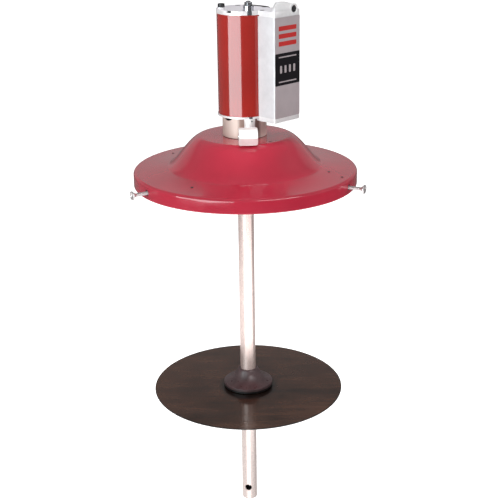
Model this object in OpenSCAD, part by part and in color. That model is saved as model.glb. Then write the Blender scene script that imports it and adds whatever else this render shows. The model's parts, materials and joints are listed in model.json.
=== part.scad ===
// Air-operated grease pump for a drum: air motor on a drum cover, pump tube, follower plate.
// Millimetres, +Z up. The origin lies on the pump axis, where the cover's flange rests on the
// drum's rim. +X is the outward direction of the valve chest.

/* [Drum cover] */
// Outer radius of the cover's skirt
cover_r = 197; // [180:1:215]
// Thickness of the cover's sheet
cover_t = 1.5; // [1.2:0.1:2]
// Height of the skirt below the seat
skirt_h = 23.5; // [20:0.5:30]
// Outer radius of the bend between skirt and flange
rim_r = 5; // [3.5:0.5:7]
// Width of the flat ring that rests on the drum
seat_w = 8; // [6:0.5:12]
// Radius where the flange meets the dome
dome_foot_r = 138; // [132:1:146]
// Rise of the flange between the seat and the dome
flange_rise = 5.9; // [4:0.1:8]
// Height of the dome's top above the seat
dome_h = 60.9; // [54:0.1:68]
// Radius of the dome's flat top
dome_top_r = 76; // [70:1:80]
// Diameter of the small holes in the sheet
pin_hole_d = 2.6; // [2:0.1:3.5]

/* [Thumb screws] */
// Direction of the first thumb screw, in degrees
screw_a = 17.75; // [10:0.25:30]
// Diameter of a thumb screw's thread
screw_d = 6.2; // [5:0.1:7]
// Depth of the thumb screws below the seat
screw_drop = 12; // [10.5:0.5:13]
// Length of thumb screw outside the skirt, up to the head
screw_out = 20; // [16:0.5:24]
// Length of a thumb screw's head
screw_head_l = 9; // [7:0.5:12]
// Diameter of the head's outer end
screw_head_d = 15.5; // [12:0.5:18]
// Length of thumb screw that stands out of its nut, inside the skirt
screw_tip = 4; // [2:0.5:6]
// Diameter of the hole in the skirt round a thumb screw
screw_hole_d = 10.4; // [9:0.1:11]
// Width across the flats of a weld nut
weld_nut_af = 13; // [12.5:0.5:14]
// Thickness of a weld nut
weld_nut_t = 8; // [6:0.5:10]

/* [Outlet body] */
// Thickness of the gasket between cover and outlet body
gasket_t = 0.8; // [0.5:0.1:1.5]
// Outer radius of the outlet body
neck_r = 38.6; // [37.6:0.1:39.2]
// Height of the outlet body above its gasket
neck_h = 36; // [35:0.5:40]
// Radius of the threaded spigot through the cover
spigot_r = 21; // [19:0.5:23]
// Length of the spigot below the outlet body
spigot_h = 23.7; // [22:0.1:28]
// Thickness of the nut under the cover
nut_t = 8; // [6:0.5:10]
// Width across the flats of the nut under the cover
nut_af = 56; // [52:1:60]
// Radius of the grease chamber
chamber_r = 9.5; // [8.7:0.1:10]
// Height of the outlet's axis above the gasket
outlet_rise = 14; // [13.9:0.1:15]
// Direction of the outlet, in degrees
outlet_a = -41; // [-44:1:-38]
// Distance from the pump axis to the middle of the outlet elbow
outlet_reach = 79; // [72:1:84]
// Width across the flats of the outlet elbow
elbow_af = 27.5; // [26:0.5:27.5]
// Length of the outlet elbow's hexagon
elbow_l = 31.5; // [28:0.5:36]
// Drilled radius of the grease outlet
outlet_r = 7.15; // [6.5:0.05:8]
// Depth of the grease outlet
outlet_d = 14; // [12:0.5:16]
// Radius of the elbow's threaded stem
stem_r = 6.85; // [6:0.05:7.5]
// Radius of the grease passage
passage_r = 4; // [3:0.1:4.5]
// Radius of the packing
packing_r = 13; // [12:0.1:14]
// Height of one packing ring
packing_t = 2; // [1.8:0.1:2.2]
// Width across the flats of the gland nut
gland_af = 22; // [20:0.5:26]
// Height of the gland nut's hexagon
gland_t = 4; // [3:0.5:4]
// Radius of the room over the gland nut
weep_r = 20; // [18:0.5:21]
// Distance from the pump axis to each neck screw
neck_screw_out_r = 26; // [25:0.5:26]
// Radius of a neck screw's shank
neck_screw_r = 2.5; // [2:0.1:2.5]

/* [Air motor] */
// Radius of the red shroud
shroud_r = 46; // [45:0.1:47.5]
// Thickness of the shroud's sheet
shroud_t = 1.2; // [1:0.1:1.5]
// Bore radius of the motor cylinder
bore_r = 31.75; // [31:0.05:32]
// Wall of the motor cylinder
cylinder_t = 1.6; // [1.2:0.1:1.8]
// Travel of the air piston
stroke = 114.3; // [100:0.1:120]
// Height of the air piston
piston_t = 20; // [18:0.5:24]
// Height left over at the top of the stroke
piston_spare = 4; // [3:0.1:8]
// Radius of the piston rod
rod_r = 6.35; // [6:0.05:6.5]
// Thickness of the lower cap's round lip
lip_t = 3.2; // [3:0.1:4]
// How far the lower cap's lip stands out past the shroud
lip_proud = 0.3; // [0.2:0.1:1]
// Height of each cap's disc inside the shroud
cap_disc_h = 8; // [7.5:0.1:10]
// Depth of each cap's spigot in the cylinder
cap_spigot_h = 5; // [5:0.1:7]
// Thickness of each rubber bumper
bumper_t = 3; // [2:0.5:5]
// Thickness of the upper cap's deck
deck_t = 7; // [6.8:0.1:9]
// Distance from the pump axis to each tie screw
tie_out_r = 37.5; // [37.3:0.1:38]
// Direction of the front tie screw, in degrees
tie_a = -31.5; // [-33:0.5:-30]
// Radius of a tie screw's shank
tie_r = 3.2; // [2.8:0.1:3.3]
// Radius of a socket head
tie_head_r = 6; // [5:0.1:6.2]
// Height of a socket head
tie_head_h = 6; // [4:0.1:7]
// Radius of a socket head that is sunk in the deck
sunk_head_r = 5; // [4.5:0.1:5.2]
// Height of a socket head that is sunk in the deck
sunk_head_h = 5; // [4:0.1:5.5]
// Height of the left lug above the deck
lug_h = 2.8; // [2:0.1:4]
// Height of the front lug above the deck
front_lug_h = 8; // [7:0.1:9]
// Radius of the front lug
front_lug_r = 9; // [8.5:0.1:9.1]

/* [Valve chest] */
// Distance from the pump axis to the chest's outer face
chest_x = 82; // [80:0.5:86]
// Distance from the pump axis to the chest's inner face
chest_in_x = 34.5; // [34:0.1:35]
// Position of the chest's near side face
chest_near_y = -9.5; // [-10:0.5:-8]
// Position of the chest's far side face
chest_far_y = 52.4; // [51:0.1:54]
// Corner radius of the chest
chest_corner_r = 2.5; // [1.5:0.5:4]
// Depth of the lower cap's chest part below its top face
chest_foot_t = 7.6; // [6:0.1:9]
// Depth of the upper cap's chest part below the deck's underside
chest_head_t = 2; // [1:0.1:3]
// Height of the cap's ridge over the chest, at its near end
ridge_h = 13.7; // [12.5:0.1:15]
// Depth of the ridge from the chest's outer face
ridge_w = 24; // [22:0.5:26]
// How far the ridge's near end slopes in, up to its crest
ridge_lean = 11.3; // [8:0.1:14]
// Drilled radius of the air inlet
inlet_r = 5.7; // [5:0.1:6.5]
// Depth of the air inlet
inlet_d = 14; // [12:0.5:16]
// How far the air inlet's boss stands out past the chest
inlet_boss_proud = 1; // [0.8:0.1:2]
// Radius of the boss round the air inlet
inlet_boss_r = 9; // [8.5:0.1:9.8]
// Height of the air inlet above the chest's top face
inlet_rise = 10.5; // [10:0.1:11]
// Distance from the air inlet to the chest's far side face
inlet_inset = 15.5; // [13:0.1:16]
// Height of the valve sleeve's lower end above the lower cap
sleeve_rise = 30; // [28:1:34]
// Outer radius of the valve sleeve
sleeve_r = 12; // [11:0.1:12.5]
// Length of the valve sleeve
sleeve_l = 100; // [90:1:110]
// Radius of the valve spool
spool_r = 8; // [7:0.1:8.5]
// Travel of the valve spool
spool_travel = 8; // [5:0.5:10]
// Radius of the exhaust muffler
muffler_r = 7.5; // [6:0.1:8.5]
// Length of the exhaust muffler outside the chest
muffler_l = 24; // [18:1:28]

/* [Pump tube] */
// Outer radius of the pump tube
tube_r = 14.3; // [14:0.05:14.6]
// Wall of the pump tube
tube_t = 2.05; // [1.8:0.05:2.2]
// Length of the pump tube
tube_l = 645; // [600:1:700]
// Depth of the tube's seat in the outlet body
tube_seat = 20; // [16:0.5:21]
// Length of the foot tube that shows below the joint
foot_l = 81.5; // [76:0.5:90]
// Height of the cross hole above the foot's end
window_h = 26.7; // [22:0.1:30]
// Diameter of the cross hole
window_d = 13; // [11:0.1:14]
// Direction of the cross hole, in degrees
window_a = -56; // [-70:1:-40]
// Radius of the priming rod
primer_rod_r = 4; // [3.5:0.1:4.2]
// Thickness of the priming piston
primer_t = 6; // [5:0.5:8]
// Radius of the pump plunger
plunger_r = 7.95; // [7.6:0.05:8]
// Radius of the pump rod
pump_rod_r = 4.75; // [4.5:0.05:5]
// Radius of the delivery valve's ball
ball_r = 4.76; // [4.5:0.01:4.9]
// Lift of the delivery valve's ball
ball_lift = 5; // [3:0.5:6]
// Thickness of the intake valve
intake_t = 8; // [6:0.5:9]
// Lift of the intake valve
intake_lift = 6; // [4:0.5:7]
// Length of the piston rod below the air piston
rod_below = 188; // [180:1:195]
// Length of the rod coupling
coupling_l = 30; // [28:1:36]
// Radius of the rod coupling
coupling_r = 8.5; // [8:0.1:9]

/* [Follower] */
// Radius of the follower plate
follower_r = 176; // [165:1:180]
// Thickness of the follower plate
follower_t = 2; // [1.5:0.1:3]
// Depth of the follower plate's top below the seat
follower_drop = 423.5; // [300:0.5:460]
// Radius of the grommet's lip
lip_r = 45.5; // [42:0.5:50]
// Height of the grommet above the plate
grommet_h = 35.5; // [31:0.5:40]
// Height of the grommet's upright lip
grommet_lip_h = 9; // [6:0.5:12]
// Radius of the grommet's top rim
grommet_top_r = 18.5; // [18:0.1:20]

/* [Hidden] */
$fn = 96;

// Overrun of every cut past the face that it opens
over = 1;
// Gap between round pieces that are fixed in each other
seat = 0.05;
// Radial gap of a sliding fit
slide = 0.04;
// Gap under a piece that rests on its stop
rest = 0.05;
// Radial gap round a screw's shank
bolt_gap = 0.3;
// Gap between the air piston and its lower bumper
piston_gap = 0.3;

// Heights from the drum's rim upwards
neck_z = dome_h + gasket_t;
lip_z = neck_z + neck_h;
cap_z = lip_z + lip_t;
cap_inner_h = cap_disc_h + cap_spigot_h;
shroud_h = 2 * (cap_inner_h + bumper_t) + piston_gap + piston_t + stroke + piston_spare;
top_z = cap_z + shroud_h;
deck_z = top_z + deck_t;
outlet_z = neck_z + outlet_rise;
packing_shoulder = 1.3;
packing_z = outlet_z + passage_r + packing_shoulder;
packing_n = 3;
gland_z = packing_z + packing_n * packing_t;
gland_hex_z = gland_z + gland_t / 2;
piston_z = cap_z + cap_inner_h + bumper_t + piston_gap;

// Heights from the drum's rim downwards
spigot_z = neck_z - spigot_h;
tube_z = spigot_z + tube_seat;
joint_z = tube_z - tube_l;
foot_z = joint_z - foot_l;
tube_in_r = tube_r - tube_t;
foot_wall = 1.2;
foot_in_r = tube_in_r - seat - foot_wall;
primer_lift = 7.5;
primer_z = foot_z + primer_lift;
stroke_spare = 3.7;
intake_z = primer_z + primer_t + stroke + stroke_spare;
intake_base_h = 17;
intake_seat_z = intake_z + intake_base_h;
cage_spare = 1;
barrel_z = intake_seat_z + intake_t + intake_lift + cage_spare;
plunger_gap = 5;
plunger_z = barrel_z + plunger_gap;
plunger_neck_h = 20;
land_h = 16;
cage_h = 18;
land_z = plunger_z + plunger_neck_h;
plunger_top_z = land_z + land_h + cage_h;
barrel_spare = 12;
barrel_l = plunger_top_z - barrel_z + stroke + barrel_spare;
coupling_z = piston_z - rod_below - coupling_l;

// Shaft sizes that several pieces share
neck_seat_r = plunger_r - cover_t;
ball_seat_r = 0.68 * ball_r;
ball_z = land_z + sqrt(ball_r * ball_r - ball_seat_r * ball_seat_r) + rest;
ball_room_r = ball_r + 0.17 * ball_r;
intake_in_r = primer_rod_r + 5 * slide;
intake_out_r = 0.82 * tube_in_r;
port_r = 2.2;

// Places on the chest
valve_x = (chest_in_x + chest_x) / 2;
valve_y = (chest_near_y + chest_far_y) / 2;
inlet_y = chest_far_y - inlet_inset;
head_z = top_z - chest_head_t;
inlet_z = head_z + inlet_rise;
gallery_r = 2.6;
cross_r = 2.2;
riser_r = 2;
sleeve_z = cap_z + sleeve_rise;
// The sleeve's five ports, from the lower exhaust to the upper one
sleeve_port_shares = [1 / 6, 2 / 6, 3 / 6, 4 / 6, 5 / 6];
port_z = [for (s = sleeve_port_shares) sleeve_z + s * sleeve_l];
muffler_inset = 6.4;
muffler_x = chest_in_x + muffler_r + muffler_inset;
muffler_stem_r = 5;
muffler_stem_l = 8;
exhaust_y = chest_far_y - muffler_stem_l - 1.5 * gallery_r;

function polar(r, a) = [r * cos(a), r * sin(a)];
function bezier(p, n) = [for (i = [0:n])
    let (t = i / n, u = 1 - t)
    u * u * u * p[0] + 3 * u * u * t * p[1] + 3 * u * t * t * p[2] + t * t * t * p[3]];
function bezier_way(p, n) = [for (i = [0:n])
    let (t = i / n, u = 1 - t)
    u * u * (p[1] - p[0]) + 2 * u * t * (p[2] - p[1]) + t * t * (p[3] - p[2])];
function aside(points, ways, gap) = [for (i = [0:len(points) - 1])
    points[i] + gap * [-ways[i][1], ways[i][0]] / norm(ways[i])];
function backwards(list) = [for (i = [len(list) - 1:-1:0]) list[i]];
function arc(mid, r, from, to, n) = [for (i = [0:n]) mid + polar(r, from + (to - from) * i / n)];

// Ring with a square section, its lower face at z
module ring(r_out, r_in, h, z = 0) {
    translate([0, 0, z])
        difference() {
            cylinder(r = r_out, h = h);
            translate([0, 0, -over])
                cylinder(r = r_in, h = h + 2 * over);
        }
}

// Round bar along +Z, from one height to another
module bar(r, from, to) {
    translate([0, 0, from])
        cylinder(r = r, h = to - from);
}

// Round ring of a seal
module o_ring(r, section_r, z) {
    translate([0, 0, z])
        rotate_extrude()
            translate([r, 0])
                circle(r = section_r, $fn = 32);
}

// Hexagon along +Z with flats facing Y
module hexagon(af, h) {
    cylinder(d = af / cos(30), h = h, $fn = 6);
}

// Socket head screw, its head's underside at the origin and its shank downwards
module socket_screw(r, l, head_r, head_h) {
    difference() {
        union() {
            bar(r, -l, rest);
            cylinder(r = head_r, h = head_h);
        }
        translate([0, 0, head_h / 2])
            hexagon(head_r, head_h);
    }
}

// Rounded plan of the valve chest, between two heights
module chest_block(from, to, x_in = chest_in_x) {
    r = chest_corner_r;
    x1 = chest_x - r;
    y0 = chest_near_y + r;
    y1 = chest_far_y - r;
    outline = concat(
        [[x_in, chest_near_y]],
        arc([x1, y0], r, -90, 0, 6),
        arc([x1, y1], r, 0, 90, 6),
        arc([x_in + r, y1], r, 90, 180, 6)
    );
    translate([0, 0, from])
        linear_extrude(to - from)
            polygon(outline);
}

// Directions of the tie screws
tie_angles = [for (i = [0:3]) tie_a + i * 90];
front_tie = tie_angles[0];

// The cover's outline, from the skirt's end to the hole in the dome
arc_n = 6;
flank_n = 16;
cover_hole_r = spigot_r + 2 * bolt_gap;
flange_z = cover_t + flange_rise;
flank_share = [0.226, 0.018, 0.355];
flank = [
    [dome_foot_r, flange_z],
    [dome_foot_r - flank_share[0] * (dome_foot_r - dome_top_r), flange_z + flank_share[1] * dome_h],
    [dome_top_r + flank_share[2] * (dome_foot_r - dome_top_r), dome_h],
    [dome_top_r, dome_h]
];
rim_mid = [cover_r - rim_r, cover_t - rim_r];
seat_in_r = cover_r - rim_r - seat_w;
cover_outside = concat(
    [[cover_r, -skirt_h]],
    arc(rim_mid, rim_r, 0, 90, arc_n),
    [[seat_in_r, cover_t]],
    bezier(flank, flank_n),
    [[cover_hole_r, dome_h]]
);
cover_inside = concat(
    [[cover_r - cover_t, -skirt_h]],
    arc(rim_mid, rim_r - cover_t, 0, 90, arc_n),
    [[seat_in_r, 0]],
    aside(bezier(flank, flank_n), bezier_way(flank, flank_n), cover_t),
    [[cover_hole_r, dome_h - cover_t]]
);

// Small holes in the sheet: share of the cover's radius, and direction in degrees
pin_hole_shares = [[0.821, 190], [0.813, -78.5], [0.778, 24.5], [0.915, 20.5], [0.363, -8]];
// The outer end of a weld nut, against the skirt's inner side
nut_x = sqrt(pow(cover_r - cover_t, 2) - pow(weld_nut_af / 2, 2)) - rest;

module drum_cover() {
    color([0.70, 0.17, 0.25])
        difference() {
            rotate_extrude($fn = 180)
                polygon(concat(cover_outside, backwards(cover_inside)));
            for (i = [0:2])
                rotate([0, 0, screw_a + i * 120])
                    translate([cover_r - rim_r, 0, -screw_drop])
                        rotate([0, 90, 0])
                            cylinder(d = screw_hole_d, h = 2 * rim_r);
            for (p = pin_hole_shares)
                rotate([0, 0, p[1]])
                    translate([p[0] * cover_r, 0, -over])
                        cylinder(d = pin_hole_d, h = dome_h + 2 * over, $fn = 24);
        }
}

module weld_nuts() {
    color([0.62, 0.16, 0.22])
        for (i = [0:2])
            rotate([0, 0, screw_a + i * 120])
                translate([nut_x - weld_nut_t, 0, -screw_drop])
                    rotate([0, 90, 0])
                        difference() {
                            hexagon(weld_nut_af, weld_nut_t);
                            translate([0, 0, -over])
                                cylinder(r = screw_d / 2 + slide, h = weld_nut_t + 2 * over);
                        }
}

// Thumb screw that points at the pump axis, with a flared round head
module thumb_screw(i) {
    tip_x = nut_x - weld_nut_t - screw_tip;
    shank_l = cover_r + screw_out - tip_x;
    r = screw_d / 2;
    end_r = screw_head_d / 2;
    head = concat(
        [[0, 0], [r, 0], [r, shank_l]],
        bezier([[r, shank_l], [1.3 * r, shank_l + screw_head_l / 2],
            [0.7 * end_r, shank_l + screw_head_l * 0.6], [end_r, shank_l + screw_head_l * 0.8]], 6),
        [[end_r, shank_l + screw_head_l], [0.62 * end_r, shank_l + screw_head_l],
            [0, shank_l + screw_head_l * 0.8]]
    );
    color([0.82, 0.80, 0.80])
        rotate([0, 0, screw_a + i * 120])
            translate([tip_x, 0, -screw_drop])
                rotate([0, 90, 0])
                    rotate_extrude($fn = 48)
                        polygon(head);
}

module thumb_screw_right() {
    thumb_screw(0);
}

module thumb_screw_rear() {
    thumb_screw(1);
}

module thumb_screw_left() {
    thumb_screw(2);
}

module cover_gasket() {
    color([0.15, 0.15, 0.16])
        ring(neck_r - gasket_t, cover_hole_r, gasket_t, dome_h);
}

module mounting_nut() {
    z = dome_h - cover_t - rest - nut_t;
    color([0.60, 0.60, 0.62])
        difference() {
            translate([0, 0, z])
                hexagon(nut_af, nut_t);
            bar(spigot_r + seat, z - over, z + nut_t + over);
        }
}

// Where the neck screws stand
neck_screw_angles = [25, 55, 205, 235];
neck_head_r = 1.7 * neck_screw_r;
neck_head_h = 2 * neck_screw_r;
neck_screw_grip = 8;
notch_r = 13.2;
notch_depth = 6.3;
notch_angles = [-93, 87];
rib_r = 9.2;
weep_hole_r = 2;
weep_hole_a = -29;

module outlet_body() {
    color([0.78, 0.72, 0.68])
        difference() {
            union() {
                bar(neck_r, neck_z, lip_z);
                bar(spigot_r, spigot_z, neck_z + over);
                rotate([0, 0, tie_a])
                    translate([tie_out_r, 0, 0])
                        bar(rib_r, neck_z, lip_z);
            }
            bar(tube_r + seat, spigot_z - over, tube_z);
            bar(chamber_r, tube_z - over, packing_z + over);
            bar(packing_r + seat, packing_z, lip_z);
            bar(weep_r, gland_hex_z, lip_z + over);
            rotate([0, 0, outlet_a])
                translate([0, 0, outlet_z])
                    rotate([0, 90, 0]) {
                        cylinder(r = passage_r, h = neck_r);
                        translate([0, 0, neck_r - 2 * stem_r])
                            cylinder(r = stem_r + seat, h = neck_r);
                    }
            for (a = notch_angles)
                rotate([0, 0, a])
                    translate([packing_r, 0, lip_z - notch_depth + notch_r])
                        rotate([0, 90, 0])
                            cylinder(r = notch_r, h = neck_r);
            rotate([0, 0, weep_hole_a])
                translate([packing_r, 0, lip_z - 2 * weep_hole_r])
                    rotate([0, 90, 0])
                        cylinder(r = weep_hole_r, h = neck_r);
            for (a = neck_screw_angles)
                translate(polar(neck_screw_out_r, a)) {
                    bar(neck_screw_r + bolt_gap, neck_z - over, lip_z + over);
                    bar(neck_head_r + bolt_gap, neck_z - over, neck_z + neck_head_h + rest);
                }
        }
}

module neck_screws() {
    shank = neck_h - neck_head_h + neck_screw_grip;
    color([0.12, 0.12, 0.13])
        for (a = neck_screw_angles)
            rotate([0, 0, a])
                translate([neck_screw_out_r, 0, neck_z + neck_head_h])
                    rotate([180, 0, 0])
                        socket_screw(neck_screw_r, shank, neck_head_r, neck_head_h - rest);
}

// The elbow's hexagon lies across the outlet's direction; its port faces the near side
module outlet_elbow() {
    stem_in = neck_r - 2 * stem_r + rest;
    drill_l = outlet_reach + passage_r - stem_in;
    color([0.86, 0.86, 0.86])
        rotate([0, 0, outlet_a])
            translate([0, 0, outlet_z])
                difference() {
                    union() {
                        translate([stem_in, 0, 0])
                            rotate([0, 90, 0])
                                cylinder(r = stem_r, h = outlet_reach - stem_in);
                        translate([outlet_reach, elbow_l / 2, 0])
                            rotate([90, 0, 0])
                                intersection() {
                                    hexagon(elbow_af, elbow_l);
                                    elbow_ends();
                                }
                    }
                    translate([stem_in - over, 0, 0])
                        rotate([0, 90, 0])
                            cylinder(r = passage_r, h = drill_l + over);
                    translate([outlet_reach, outlet_d - elbow_l / 2, 0])
                        rotate([90, 0, 0])
                            cylinder(r = outlet_r, h = elbow_l);
                }
}

// Round chamfers on both ends of the elbow's hexagon
module elbow_ends() {
    r = elbow_af / 2 / cos(30) + rest;
    c = elbow_af / 16;
    rotate_extrude()
        polygon([[0, 0], [r - c, 0], [r, c], [r, elbow_l - c], [r - c, elbow_l], [0, elbow_l]]);
}

module packing_rings() {
    color([0.85, 0.84, 0.80])
        for (i = [0:packing_n - 1])
            ring(packing_r, rod_r + slide, packing_t - rest, packing_z + i * packing_t);
}

module gland_nut() {
    color([0.75, 0.62, 0.35])
        difference() {
            union() {
                bar(packing_r, gland_z, gland_hex_z + rest);
                translate([0, 0, gland_hex_z])
                    hexagon(gland_af, gland_t);
            }
            bar(rod_r + slide, gland_z - over, gland_z + 2 * gland_t);
        }
}

bushing_r = 9;
seal_r = 11;
bushing_h = lip_t + cap_disc_h / 2;
groove_h = 2.7;
groove_ring_r = 1.3;
groove_depth = 2.65;

// Ring groove in a round spigot or piston
module seal_groove(r, z) {
    ring(r + over, r - groove_depth, groove_h, z - groove_h / 2);
}

// Screws that hold the chest to both caps
chest_screw_r = 2.5;
chest_head_r = 4.2;
chest_head_h = 4.5;
chest_screw_l = 16;
chest_screw_inset = 7;
chest_screw_places = [
    [chest_in_x + 1.8 * chest_screw_inset, chest_near_y + chest_screw_inset],
    [chest_in_x + 1.8 * chest_screw_inset, chest_far_y - chest_screw_inset]
];

// Line of the air passages that lead from the chest to the cylinder's ends
air_y = chest_near_y + 2 * chest_screw_inset;
air_share = 0.6;
low_air_z = cap_z + air_share * cap_disc_h;
high_air_z = top_z - air_share * cap_disc_h;

// Passage in a cap: in from the chest's face, then up or down to the cylinder
module cap_passage(z, end_z) {
    inner_x = neck_screw_out_r;
    translate([inner_x - cross_r, air_y, z])
        rotate([0, 90, 0])
            cylinder(r = cross_r, h = chest_in_x - inner_x + cross_r + over);
    translate([inner_x, air_y, 0])
        bar(riser_r, min(z, end_z), max(z, end_z));
}

// Disc of a cap inside the shroud, cut flat where the chest stands
module cap_disc(z) {
    difference() {
        bar(shroud_r - shroud_t - rest, z, z + cap_disc_h);
        translate([chest_in_x - rest, chest_near_y - rest, z - over])
            cube([shroud_r, chest_far_y - chest_near_y, cap_disc_h + 2 * over]);
    }
}

module lower_cap() {
    spigot_top = cap_z + cap_inner_h;
    color([0.90, 0.90, 0.91])
        difference() {
            union() {
                bar(shroud_r + lip_proud, lip_z, cap_z);
                chest_block(lip_z, cap_z);
                chest_block(cap_z - chest_foot_t, cap_z, neck_r + over);
                cap_disc(cap_z);
                bar(bore_r - seat, cap_z, spigot_top);
            }
            bar(bushing_r + seat, lip_z - over, lip_z + bushing_h);
            bar(seal_r + seat, lip_z + bushing_h - rest, spigot_top + over);
            seal_groove(bore_r - seat, spigot_top - cap_spigot_h / 2);
            cap_passage(low_air_z, spigot_top + over);
            for (a = tie_angles)
                translate(polar(tie_out_r, a))
                    bar(tie_r + seat, lip_z - over, cap_z + cap_disc_h + over);
            for (a = neck_screw_angles)
                translate(polar(neck_screw_out_r, a))
                    bar(neck_screw_r + seat, lip_z - over, lip_z + neck_screw_grip + rest);
            for (p = chest_screw_places)
                translate(p) {
                    bar(chest_screw_r + bolt_gap, cap_z - chest_foot_t - over, cap_z + over);
                    bar(chest_head_r + bolt_gap, cap_z - chest_foot_t - over,
                        cap_z - chest_foot_t + chest_head_h + rest);
                }
        }
}

module rod_bushing() {
    color([0.72, 0.55, 0.30])
        ring(bushing_r, rod_r + slide, bushing_h, lip_z);
}

module rod_seal() {
    color([0.10, 0.10, 0.11])
        ring(seal_r, rod_r + slide, cap_inner_h + lip_t - bushing_h - rest, lip_z + bushing_h);
}

bumper_mid_r = 20;
bumper_w = 8;

module lower_bumper() {
    color([0.10, 0.10, 0.11])
        ring(bumper_mid_r + bumper_w / 2, bumper_mid_r - bumper_w / 2, bumper_t, cap_z + cap_inner_h);
}

module upper_bumper() {
    color([0.10, 0.10, 0.11])
        ring(bumper_mid_r + bumper_w / 2, bumper_mid_r - bumper_w / 2, bumper_t,
            top_z - cap_inner_h - bumper_t);
}

module motor_cylinder() {
    color([0.70, 0.71, 0.73])
        ring(bore_r + cylinder_t, bore_r, shroud_h - 2 * cap_disc_h, cap_z + cap_disc_h);
}

module cylinder_seals() {
    r = bore_r - groove_ring_r - slide;
    color([0.10, 0.10, 0.11]) {
        o_ring(r, groove_ring_r, cap_z + cap_inner_h - cap_spigot_h / 2);
        o_ring(r, groove_ring_r, top_z - cap_inner_h + cap_spigot_h / 2);
    }
}

module cylinder_shroud() {
    color([0.70, 0.14, 0.12])
        difference() {
            ring(shroud_r, shroud_r - shroud_t, shroud_h, cap_z);
            translate([chest_in_x - seat, chest_near_y - seat, cap_z - over])
                cube([shroud_r, chest_far_y - chest_near_y, shroud_h + 2 * over]);
        }
}

// Cross drilling of the chest along -Y, from one depth to another
module chest_drill(x, from_y, to_y, z, r = cross_r) {
    translate([x, from_y, z])
        rotate([90, 0, 0])
            cylinder(r = r, h = from_y - to_y);
}

module valve_chest() {
    color([0.88, 0.88, 0.89])
        difference() {
            chest_block(cap_z, head_z);
            translate([valve_x, valve_y, 0])
                bar(sleeve_r + seat, sleeve_z, head_z + over);
            // Supply: down from the inlet, then across to the sleeve's middle port
            translate([valve_x, inlet_y, 0])
                bar(gallery_r, port_z[2], head_z + over);
            chest_drill(valve_x, chest_far_y + over, valve_y, port_z[2]);
            chest_drill(valve_x, chest_far_y + over, chest_far_y - plug_l, port_z[2], plug_r + seat);
            // Air to and from the two ends of the cylinder
            for (z = [[low_air_z, port_z[1]], [high_air_z, port_z[3]]]) {
                translate([chest_in_x - over, air_y, z[0]])
                    rotate([0, 90, 0])
                        cylinder(r = cross_r, h = valve_x - chest_in_x + over);
                translate([valve_x, air_y, 0])
                    bar(gallery_r, min(z), max(z));
                chest_drill(valve_x, valve_y, air_y, z[1]);
            }
            // Both exhaust ports lead to the muffler
            for (z = [port_z[0], port_z[4]])
                chest_drill(muffler_x, exhaust_y, valve_y, z);
            translate([muffler_x, exhaust_y, 0])
                bar(gallery_r, port_z[0], port_z[4]);
            chest_drill(muffler_x, chest_far_y + over, exhaust_y, port_z[0], gallery_r + seat);
            chest_drill(muffler_x, chest_far_y + over, chest_far_y - muffler_stem_l, port_z[0],
                muffler_stem_r + seat);
            for (p = chest_screw_places)
                translate(p) {
                    bar(chest_screw_r + seat, cap_z - over, cap_z + chest_screw_l);
                    bar(chest_screw_r + seat, head_z - chest_screw_l, head_z + over);
                }
        }
}

plug_r = 5;
plug_l = 6;
sleeve_groove_w = 5;
sleeve_groove_depth = 1.6;
sleeve_ring_shares = [1 / 12, 3 / 12, 5 / 12, 7 / 12, 9 / 12, 11 / 12];
sleeve_ring_r = 0.9;

module valve_sleeve() {
    slot_h = 2 * sleeve_ring_r + rest;
    color([0.78, 0.64, 0.34])
        translate([valve_x, valve_y, 0])
            difference() {
                ring(sleeve_r, spool_r + slide, sleeve_l, sleeve_z);
                for (z = port_z)
                    translate([0, 0, z]) {
                        ring(sleeve_r + over, sleeve_r - sleeve_groove_depth, sleeve_groove_w,
                            -sleeve_groove_w / 2);
                        for (a = [45, 135])
                            rotate([90, 0, a])
                                cylinder(r = port_r, h = 3 * sleeve_r, center = true);
                    }
                for (s = sleeve_ring_shares)
                    ring(sleeve_r + over, sleeve_r - 2 * sleeve_ring_r, slot_h,
                        sleeve_z + s * sleeve_l - slot_h / 2);
            }
}

module sleeve_seals() {
    color([0.10, 0.10, 0.11])
        for (s = sleeve_ring_shares)
            translate([valve_x, valve_y, 0])
                o_ring(sleeve_r - sleeve_ring_r, sleeve_ring_r - seat / 2, sleeve_z + s * sleeve_l);
}

spool_end_gap = 5;
spool_l = sleeve_l - spool_travel - spool_end_gap;
// Each land: where it starts and ends, as shares of the spool's length
spool_land_shares = [[0, 0.12], [0.26, 0.46], [0.62, 0.82], [0.9, 1]];

module valve_spool() {
    color([0.80, 0.81, 0.83])
        translate([valve_x, valve_y, sleeve_z + rest]) {
            bar(0.6 * spool_r, 0, spool_l);
            for (s = spool_land_shares)
                bar(spool_r, s[0] * spool_l, s[1] * spool_l);
        }
}

module valve_plug() {
    z = sleeve_z + sleeve_l;
    h = head_z - z;
    color([0.70, 0.70, 0.72])
        translate([valve_x, valve_y, z])
            difference() {
                cylinder(r = sleeve_r, h = h);
                translate([0, 0, h / 2])
                    hexagon(sleeve_r, h);
            }
}

module gallery_plug() {
    color([0.30, 0.30, 0.32])
        translate([valve_x, chest_far_y, port_z[2]])
            rotate([90, 0, 0])
                difference() {
                    cylinder(r = plug_r, h = plug_l);
                    translate([0, 0, -over])
                        hexagon(plug_r, plug_l / 2 + over);
                }
}

module exhaust_muffler() {
    hex_h = muffler_l / 4;
    color([0.72, 0.55, 0.30])
        translate([muffler_x, chest_far_y, port_z[0]])
            rotate([-90, 0, 0]) {
                bar(muffler_stem_r, -muffler_stem_l + rest, over);
                hexagon(2 * muffler_r, hex_h);
                rotate_extrude()
                    polygon(concat([[0, hex_h / 2], [0.8 * muffler_r, hex_h / 2]],
                        arc([0.3 * muffler_r, muffler_l - muffler_r / 2], muffler_r / 2, 0, 90, 5),
                        [[0, muffler_l]]));
            }
}

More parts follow.
